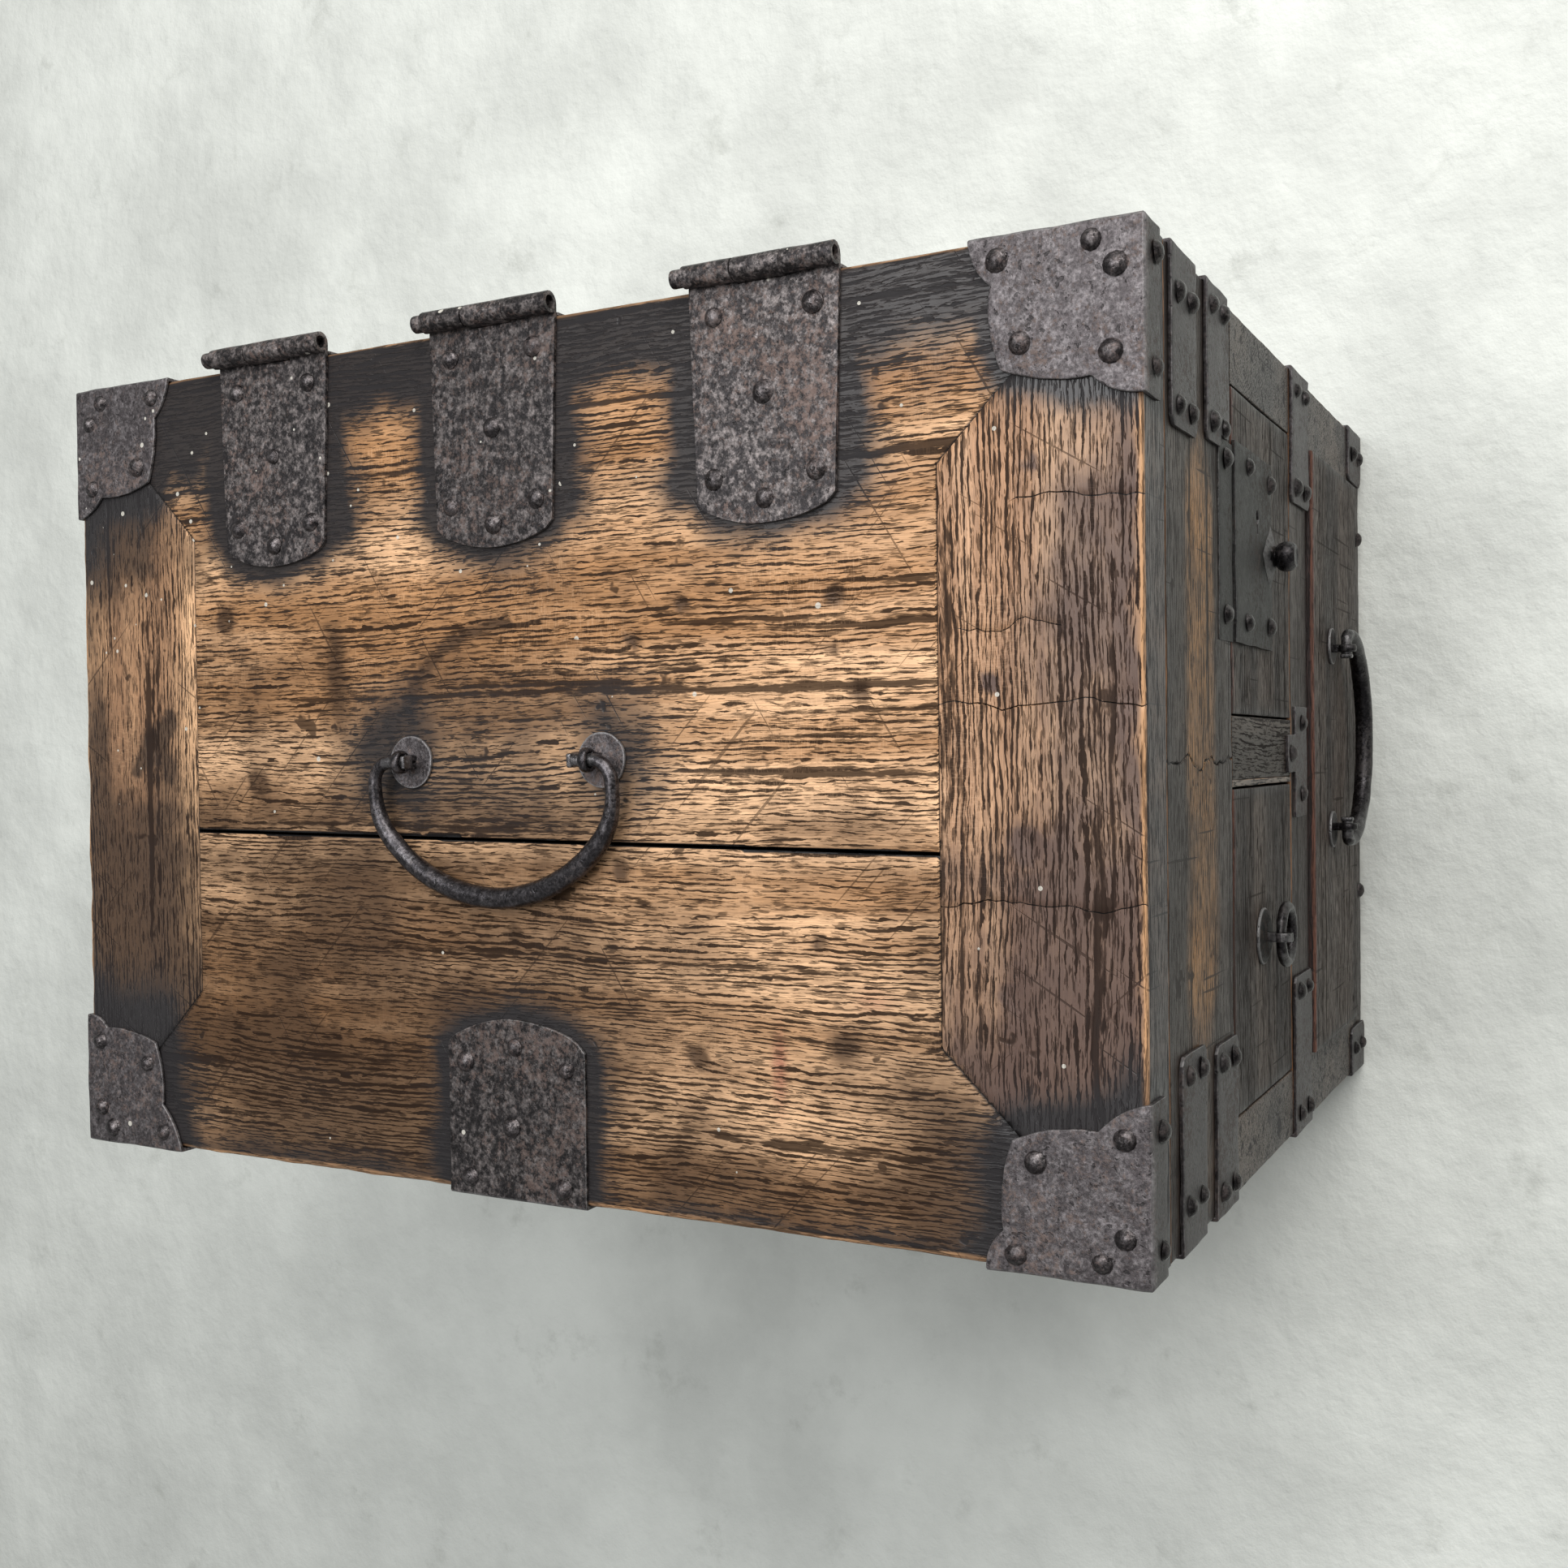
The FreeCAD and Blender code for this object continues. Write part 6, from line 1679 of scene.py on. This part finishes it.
            self.lay(name, (-HALF_W, low_y, RIM_Z), (HALF_W, high_y, LID_TOP), outline, worn,
                     LID_BATTEN if sign < 0 else LID_BATTEN_BACK, "lid_%s_batten" % name, cracks)

    def lay(self, name: str, low: Triple, high: Triple, outline: Sequence[Pair],
            worn: dict[str, float], finish: WoodFinish, node: str, cracks: Sequence[Crack]) -> None:
        """Makes one piece of the lid's wood.

        Args:
            name: right, left, front or back.
            low: the low corner of its box.
            high: the high corner of its box.
            outline: its outline from above.
            worn: the radius of each arris.
            finish: its finish.
            node: the CAD node that it stands for.
            cracks: its splits.
        """
        plank = Plank("lid_wood_" + name, low, high, finish, cell=2.8, arris=0.0, worn=worn,
                      outline=outline, cracks=cracks, dints=self.dints, hollow=0.16,
                      stain=self.stain, soil=self.soil, glow=self.glow)
        board = plank.build()
        points = read_mm(board)
        joint = self.joint_distance(points[:, :2]) < 0.3
        along = (points[:, 1] + 170.5) / 341.0
        seam_x = self.joint_front + (self.joint_back - self.joint_front) * along
        seam = (np.abs(points[:, 0] - seam_x) < 0.9) & (np.abs(points[:, 1]) < 171.0)
        top = high[2] - points[:, 2] < 1.5
        points[:, 2] -= np.where(top & (joint | seam), 0.55, 0.0)
        write_mm(board, points)
        # Painted shade: the open seam between the boards is coloured near black; the mitre joints
        # are dark lines.
        soot_and_shade = np.where(seam, 1.0, np.where(joint, 0.75, 0.0))
        paint(board, "crack", np.maximum(painted(board, "crack"), soot_and_shade))
        band = 0.50 * np.exp(-(np.clip(points[:, 1] - FRONT_Y, 0.0, None) / 7.0) ** 2)
        band *= (points[:, 2] > LID_TOP - 2.0) & (np.abs(points[:, 0] - 2.0) < 110.0)
        band *= 0.8 + 0.5 * rough(points, 24.0, 6.0)
        paint(board, "rub", np.maximum(painted(board, "rub"), band))
        hand_over(board, finish, "lid", "lid_wood", node)

    def joint_distance(self, plane: np.ndarray) -> np.ndarray:
        """How far points are from the lines where the lid's pieces meet."""
        inner_x, inner_y = HALF_W - BATTEN, BACK_Y - BATTEN
        nearest = np.full(len(plane), 1000.0)
        signs = (-1.0, 1.0)
        ends = [((sx * HALF_W, sy * BACK_Y), (sx * inner_x, sy * inner_y))
                for sx in signs for sy in signs]
        ends += [((-inner_x, sy * inner_y), (inner_x, sy * inner_y)) for sy in signs]
        for start, end in ends:
            a, b = np.array(start), np.array(end)
            run = b - a
            share = np.clip(((plane - a) @ run) / (run @ run), 0.0, 1.0)
            nearest = np.minimum(nearest, np.linalg.norm(plane - a - share[:, None] * run, axis=1))
        return nearest

    def build(self) -> None:
        """The wood, the plates, the nails and the hinges' lid halves."""
        self.boards()
        for name in self.corners:
            # Painted shade that makes some plates and leaves darker than others.
            tone = 0.06 if name == "back_left" else 0.0
            IronSheet("corner_iron_" + name, "lid_corner_plate_" + name, "lid", "strap_iron",
                      STRAP_IRON, shade=((0.0, tone),)).build()
        IronSheet("lock_strap_iron", "lid_lock_strap", "lid", "strap_iron", HINGE_IRON,
                  shade=((0.0, 0.34),)).build()
        IronSheet("hinge_iron_lid", "hinge_lid_leaves", "lid", "hinge_iron", HINGE_IRON,
                  keep_off_axis=(HINGE_X, HINGE_Z), wobble=0.12,
                  shade=((-70.0, 0.0), (-30.0, 0.26), (50.0, 0.26), (85.0, 0.10))).build()
        Nails("lid_nail_heads", "lid_nails", "lid").build()
        Bail("lid_bail", "lid_bail", "lid", axis_point=(0.4, 7.0, 422.0), eye_half=43.8,
             washer_half=44.9, widest=55.7, drop=51.9, slack=2.0, standoff=8.5, washer_r=10.3,
             slip=1.8).build()


@dataclass
class Case:
    """The body of the chest: boards, rails, stile, corner straps and fixed iron."""

    front_t: float = 22.0

    def front_glow(self, points: np.ndarray) -> np.ndarray:
        """The warm band that runs along the front board."""
        middle = 344.0 + 3.0 * rough(points, 90.0, 2.0)
        fade = ramp(-points[:, 0], -115.0, 30.0) * ramp(points[:, 0], -108.0, 30.0)
        return (0.25 + 0.85 * fade) * np.exp(-((points[:, 2] - middle) / 20.0) ** 2)

    def strap_stain(self, points: np.ndarray) -> np.ndarray:
        """Darker wood round the corner straps."""
        corner = np.minimum(HALF_W - np.abs(points[:, 0]), np.abs(np.abs(points[:, 1]) - BACK_Y))
        return 0.42 * np.exp(-(np.clip(corner, 0.0, None) / 20.0) ** 2)

    def front_members(self) -> None:
        """Front board, rails, stile and shim."""
        rear = {"+y+z": 0.2, "+y-z": 0.2}
        items = (("front_board", 1.4, 1.6, (Crack(0, -3.0, 1.4, 4.0),), self.front_glow),
                 ("middle_rail", 2.2, 1.2, (), None), ("base_rail", 1.2, 1.6, (), None))
        for node, upper, lower, cracks, glow in items:
            board = Plank.over(node, CASE_RAIL, cell=3.2, arris=0.5,
                               worn={"-y+z": upper, "-y-z": lower, **rear}, cracks=cracks,
                               glow=glow, stain=self.strap_stain, hollow=0.18,
                               seam_dirt=0.5).build()
            if node == "front_board":
                chop(board, *BOLT_MORTISE)
                chop(board, *STRIKER_RECESS)
            hand_over(board, CASE_RAIL, "case", "front_wood", node)
        for node, finish, slot in (("centre_stile", STILE, "front_wood"),
                                   ("stile_shim", SHIM, "shim_wood")):
            Plank.over(node, finish, cell=3.0, arris=0.5, hollow=0.2,
                       seam_dirt=0.3).fit("case", slot, node)

    def sides(self) -> None:
        """The two side boards, each with its three housings for the front members."""
        for name, sign in (("right", 1.0), ("left", -1.0)):
            node = "side_board_" + name
            low, high = board_between(node)
            parts = []
            inner_y = FRONT_Y + self.front_t
            outer, inner = ("+x", "-x") if sign > 0 else ("-x", "+x")
            main = Plank(node + "_wood", (low[0], inner_y, low[2]), high, CASE_SIDE, cell=5.0,
                         arris=0.4, worn={outer + "-y": 0.0, outer + "+z": 1.5, outer + "-z": 1.5,
                                          inner + "-y": 0.0},
                         stain=self.strap_stain, hollow=0.16)
            parts.append(main.build())
            for below, above in (("base_rail", "middle_rail"), ("middle_rail", "front_board")):
                z0, z1 = board_between(below)[1][2], board_between(above)[0][2]
                cheek = Plank(node + "_wood", (low[0], FRONT_Y, z0), (high[0], inner_y, z1),
                              CASE_SIDE, cell=4.0, arris=0.0,
                              worn={outer + "-y": 1.0, inner + "-y": 0.6},
                              stain=self.strap_stain, hollow=0.0)
                parts.append(cheek.build())
            board = join(parts, node + "_wood")
            hand_over(board, CASE_SIDE, "case", "side_wood", node)

    def rest_of_boards(self) -> None:
        """Back board and the inner boards."""
        Plank.over("back_board", END_CASE, cell=5.0, arris=0.6,
                   worn={"+y+z": 1.4, "+x+y": 1.2, "-x+y": 1.2}, stain=self.strap_stain,
                   hollow=0.16).fit("case", "side_wood", "back_board")
        for node in ("bottom_board", "shelf_board", "compartment_floor", "divider_board"):
            Plank.over(node, INNER_WOOD_Y, cell=INNER_CELL, arris=0.3,
                       hollow=0.06).fit("case", "inner_wood", node)
        low, high = board_between("drawer_runners")
        strips = []
        for x0, x1 in ((low[0], low[0] + RUNNER_WIDTH), (high[0] - RUNNER_WIDTH, high[0])):
            strip = Plank("drawer_runner_wood", (x0, low[1], low[2]), (x1, high[1], high[2]),
                          INNER_WOOD_Y, cell=INNER_CELL, arris=0.5, hollow=0.04)
            strips.append(strip.build())
        pair = join(strips, "drawer_runner_wood")
        hand_over(pair, INNER_WOOD_Y, "case", "inner_wood", "drawer_runners")

    def iron(self) -> None:
        """Straps, tee, striker, case leaves, pins and nails."""
        for node in ("front_corner_straps_left", "front_corner_straps_right", "back_corner_straps",
                     "rail_tee_strap"):
            IronSheet(node + "_iron", node, "case", "strap_iron", STRAP_IRON).build()
        IronSheet("striker_iron", "striker_plate", "case", "lock_iron", LOCK_IRON).build()
        IronSheet("hinge_iron_case", "hinge_case_leaves", "case", "hinge_iron", HINGE_IRON,
                  keep_off_axis=(HINGE_X, HINGE_Z), wobble=0.12).build()
        IronSheet("hinge_pin_iron", "hinge_pins", "case", "hinge_iron", HINGE_IRON, rim=0.3,
                  wobble=0.0, rub_share=0.1).build()
        Nails("case_nail_heads", "case_nails", "case").build()

    def build(self) -> None:
        """Everything that stays with the case."""
        self.front_members()
        self.sides()
        self.rest_of_boards()
        self.iron()


@dataclass
class Drawer:
    """A drawer: thick front, thin box behind."""

    name: str
    side_t: float = 9.0
    worn: dict[str, float] = field(default_factory=lambda: {"-y+z": 1.0, "-y-z": 0.7})

    def glow(self, points: np.ndarray) -> np.ndarray:
        """Red lacquer left along the upper arris."""
        top = board_between(self.name + "_drawer_front")[1][2]
        return 0.8 * np.exp(-((top - points[:, 2]) / 3.0) ** 2)

    def front(self) -> Piece:
        """The drawer's front."""
        board = Plank.over(self.name + "_drawer_front", DRAWER_FRONT, cell=3.4, arris=0.5,
                           worn=self.worn, glow=self.glow, hollow=0.2, seam_dirt=0.65).build()
        if self.name == "right":
            self.bore_keyhole(board)
        return board

    def bore_keyhole(self, board: Piece) -> None:
        """Cuts the keyhole, a round with a slot towards -X.

        Args:
            board: the drawer's front.
        """
        deselect()
        bpy.ops.mesh.primitive_cylinder_add(
            vertices=24, radius=2.6 * MM, depth=40.0 * MM, rotation=(math.pi / 2.0, 0.0, 0.0),
            location=(92.2 * MM, -230.0 * MM, 258.0 * MM))
        bore = added()
        modify(board, "BOOLEAN", operation="DIFFERENCE", object=bore, solver="EXACT")
        bpy.data.objects.remove(bore)
        chop(board, (85.6, -250.0, 257.1), (92.2, -210.0, 258.9))
        # Painted shade: the wood in the keyhole is coloured near black.
        points = read_mm(board)
        inside = (np.abs(points[:, 0] - 89.5) < 5.6) & (np.abs(points[:, 2] - 258.0) < 2.9)
        paint(board, "crack", np.where(inside, 1.0, painted(board, "crack")))
        chop(board, *LOCK_POCKET)
        chop(board, *BOLT_SLOT)

    def build(self) -> None:
        """The front and the box behind it."""
        body = self.name + "_drawer"
        front = self.front()
        hand_over(front, DRAWER_FRONT, body, "drawer_front_wood", body + "_front")
        back_of_front = board_between(body + "_front")[1][1]
        low, high = board_between(body + "_sides")
        sides = []
        for x0, x1 in ((low[0], low[0] + self.side_t), (high[0] - self.side_t, high[0])):
            side = Plank(body + "_sides_wood", (x0, back_of_front, low[2]), (x1, high[1], high[2]),
                         INNER_WOOD_Y, cell=INNER_CELL, arris=0.5, hollow=0.05)
            sides.append(side.build())
        pair = join(sides, body + "_sides_wood")
        hand_over(pair, INNER_WOOD_Y, body, "inner_wood", body + "_sides")
        Plank.over(body + "_back", INNER_WOOD_X, cell=INNER_CELL, arris=0.4,
                   hollow=0.05).fit(body, "inner_wood", body + "_back")
        low, high = board_between(body + "_bottom")
        Plank(body + "_bottom_wood", (low[0], back_of_front, low[2] + BOTTOM_PLAY), high,
              INNER_WOOD_Y, cell=INNER_CELL, arris=0.3,
              hollow=0.04).fit(body, "inner_wood", body + "_bottom")


@dataclass
class LockAndKnob:
    """Lock plate, knob and what lies behind them on the right drawer."""

    centre_x: float = 78.8
    knob_z: float = 234.5
    head_r: float = 6.1
    head_t: float = 7.6
    head_y: float = -247.6

    def knob(self) -> None:
        """The turned knob: a bead on a neck, slightly faceted."""
        deselect()
        bpy.ops.mesh.primitive_uv_sphere_add(
            segments=20, ring_count=12, radius=self.head_r * MM,
            location=(self.centre_x * MM, self.head_y * MM, self.knob_z * MM),
            rotation=(math.pi / 2.0, 0.0, 0.0))
        bead = added()
        points = read_mm(bead)
        limit = self.head_t / 2.0
        points[:, 1] = self.head_y + np.clip((points[:, 1] - self.head_y) * 0.92, -limit, limit)
        write_mm(bead, points)
        with editing(bead) as mesh:
            pick_faces(mesh, lambda middle, normal: (normal.y < -0.97
                                                     and middle.y < self.head_y - 3.2))
            bpy.ops.mesh.inset(thickness=1.1 * MM)
            bpy.ops.transform.translate(value=(0.0, 0.5 * MM, 0.0))
        deselect()
        bpy.ops.mesh.primitive_cylinder_add(
            vertices=20, radius=2.6 * MM, depth=24.0 * MM,
            location=(self.centre_x * MM, (self.head_y + 14.0) * MM, self.knob_z * MM),
            rotation=(math.pi / 2.0, 0.0, 0.0))
        neck = added()
        with editing(neck) as mesh:
            pick_faces(mesh, lambda middle, normal: normal.y < -0.9)
            bpy.ops.transform.resize(value=(1.25, 1.0, 1.25))
        piece = join([bead, neck], "knob_turned")
        swell(piece, (0.07, 3.0, 2.0))
        paint(piece, "rub", 0.35 + 0.35 * rough(read_mm(piece), 4.0, 3.0))
        hand_over(piece, BAIL_IRON, "right_drawer", "bail_iron", "knob", smooth=ROD_ANGLE)

    def build(self) -> None:
        """The plate, its nails, the diamond, the knob, the case and the bolt."""
        IronSheet("lock_plate_iron", "lock_plate", "right_drawer", "lock_iron", LOCK_IRON,
                  cell=3.0).build()
        Nails("lock_nail_heads", "lock_plate_nails", "right_drawer").build()
        IronSheet("knob_diamond_iron", "knob_plate", "right_drawer", "lock_iron", LOCK_IRON,
                  cell=2.0, rim=0.35, wobble=0.15).build()
        self.knob()
        IronSheet("lock_case_iron", "lock_case", "right_drawer", "lock_iron", LOCK_IRON, cell=8.0,
                  rim=0.15, wobble=0.0, beat=0.0).build()
        IronSheet("lock_bolt_iron", "lock_bolt", "lock_bolt", "lock_iron", LOCK_IRON, cell=5.0,
                  wobble=0.0, beat=0.0).build()


@dataclass
class RingPull:
    """The left drawer's ring, eye and dished plate."""

    centre_x: float = -73.0
    axis_y: float = -246.7
    axis_z: float = 246.5
    ring_r: float = 11.0
    rod_r: float = 2.4
    plate_r: float = 11.3

    def build(self) -> None:
        """Makes the three pieces."""
        deselect()
        bpy.ops.mesh.primitive_torus_add(
            major_segments=48, minor_segments=14, major_radius=self.ring_r * MM,
            minor_radius=self.rod_r * MM, rotation=(math.pi / 2.0, 0.0, 0.0),
            location=(self.centre_x * MM, self.axis_y * MM, (self.axis_z - self.ring_r) * MM))
        ring = added()
        points = read_mm(ring)
        turn = np.arctan2(points[:, 2] - self.axis_z + self.ring_r, points[:, 0] - self.centre_x)
        waist = 1.0 - 0.16 * np.exp(-((turn - math.pi / 2.0) / 0.5) ** 2)
        points[:, 1] = self.axis_y + (points[:, 1] - self.axis_y) * waist * 0.94
        radial = np.hypot(points[:, 0] - self.centre_x, points[:, 2] - self.axis_z + self.ring_r)
        round_rod = np.arctan2(points[:, 1] - self.axis_y, radial - self.ring_r)
        faces = 0.10 * np.cos(4.0 * round_rod)
        lap = -0.30 * np.exp(-((np.abs(turn + math.pi / 2.0) - 0.22) / 0.05) ** 2)
        points += normals_of(ring) * (0.14 * rough(points, 6.0, 2.0) - 0.12 + faces + lap)[:, None]
        write_mm(ring, points)
        paint(ring, "rub", 0.35 + 0.35 * rough(points, 6.0, 3.0))
        ring.name = "ring_forged"
        hand_over(ring, BAIL_IRON, "ring_pull", "bail_iron", "ring_pull", smooth=ROD_ANGLE)
        IronSheet("ring_eye_iron", "ring_eye", "left_drawer", "bail_iron", BAIL_IRON, cell=3.0,
                  rim=0.35, wobble=0.08).build()
        deselect()
        bpy.ops.mesh.primitive_cylinder_add(
            vertices=40, radius=self.plate_r * MM, depth=0.9 * MM, location=(0.0, 0.0, 0.45 * MM))
        plate = added()
        dish(plate, (0.8, 0.35), (2.2, 1.0), (2.2, 0.6), (2.0, -0.2), (1.5, -0.5))
        modify(plate, "BEVEL", width=0.25 * MM, segments=2, limit_method="ANGLE",
               angle_limit=math.radians(50.0))
        spot = Matrix.Translation(Vector((self.centre_x, FRONT_Y, self.axis_z)) * MM)
        plate.matrix_world = spot @ Matrix.Rotation(math.pi / 2.0, 4, "X")
        settle(plate)
        points = read_mm(plate)
        radial = np.hypot(points[:, 0] - self.centre_x, points[:, 2] - self.axis_z)
        paint(plate, "rub", np.exp(-((self.plate_r - radial) / 0.9) ** 2))
        plate.name = "ring_plate_iron"
        hand_over(plate, LOCK_IRON, "left_drawer", "bail_iron", "ring_plate")


@dataclass
class Studio:
    """Pale floor, soft light and the camera."""

    camera_at: Triple = (0.000218, -0.37764, 0.90943)
    # The camera's own axes in the chest's frame: right, up and backward.
    camera_axes: tuple[Triple, Triple, Triple] = (
        (-0.01207, -0.88208, -0.47057), (0.99980, -0.00320, -0.01964),
        (0.01583, -0.47071, 0.88195))
    lens: float = 37.45
    sensor: float = 36.0

    def floor(self) -> None:
        """A wide plaster floor with low waves."""
        deselect()
        bpy.ops.mesh.primitive_grid_add(x_subdivisions=160, y_subdivisions=160, size=16.0)
        floor = bpy.context.object
        points = read_mm(floor)
        points[:, 2] -= 1.2 * (rough(points, 260.0, 2.0) + 1.2)
        points[:, 2] = np.minimum(points[:, 2], -0.1)
        write_mm(floor, points)
        floor.name = "plaster_floor"
        bpy.ops.object.shade_smooth()
        floor.data.materials.append(FLOOR.material())

    def lamp(self, name: str, place: Triple, aim: Triple, size: float, power: float,
             colour: Colour) -> None:
        """A square soft light.

        Args:
            name: its name.
            place: where it stands, in metres.
            aim: where it points.
            size: its width.
            power: watts.
            colour: its colour.
        """
        deselect()
        bpy.ops.object.light_add(type="AREA", location=place)
        lamp = bpy.context.object
        lamp.name = name
        lamp.rotation_euler = (Vector(aim) - Vector(place)).to_track_quat("-Z", "Y").to_euler()
        lamp.data.size = size
        lamp.data.energy = power
        lamp.data.color = colour

    def camera(self) -> None:
        """The camera at the taking point, turned so that the hinges are at the top."""
        data = bpy.data.cameras.new("taking_camera")
        data.lens = self.lens
        data.sensor_width = self.sensor
        camera = bpy.data.objects.new("taking_camera", data)
        bpy.context.scene.collection.objects.link(camera)
        spot = Matrix.Translation(Vector(self.camera_at))
        camera.matrix_world = spot @ Matrix(self.camera_axes).transposed().to_4x4()
        bpy.context.scene.camera = camera

    def build(self) -> None:
        """Sets the stage."""
        self.floor()
        self.lamp("window", (1.45, -0.95, 1.50), (0.0, -0.05, 0.3), 1.5, 41.0, (1.0, 0.99, 0.97))
        self.lamp("skylight", (0.50, 0.12, 2.2), (0.10, -0.10, 0.4), 1.2, 24.0, (0.96, 0.98, 1.0))
        world = bpy.data.worlds.new("room")
        world.use_nodes = True
        colour, strength = world.node_tree.nodes["Background"].inputs[:2]
        colour.default_value = (0.94, 0.96, 0.96, 1.0)
        strength.default_value = 0.32
        bpy.context.scene.view_settings.view_transform = "Standard"
        bpy.context.scene.world = world
        self.camera()


def main() -> None:
    """Builds the sub-assemblies in order and reports each piece."""
    logging.basicConfig(level=logging.INFO, format="%(message)s")
    Studio().build()
    Lid().build()
    Case().build()
    for name in ("right", "left"):
        Drawer(name).build()
    Drawer("bottom", worn={"-y+z": 1.8, "-y-z": 1.0}).build()
    LockAndKnob().build()
    RingPull().build()
    Bail("drawer_bail", "drawer_bail", "bottom_drawer", axis_point=(6.8, -249.3, 102.0),
         eye_half=42.2, washer_half=43.4, widest=48.8, drop=51.5, slack=0.8, standoff=7.2,
         washer_r=8.6, upright=True).build()
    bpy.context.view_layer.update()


if __name__ == "__main__":
    main()
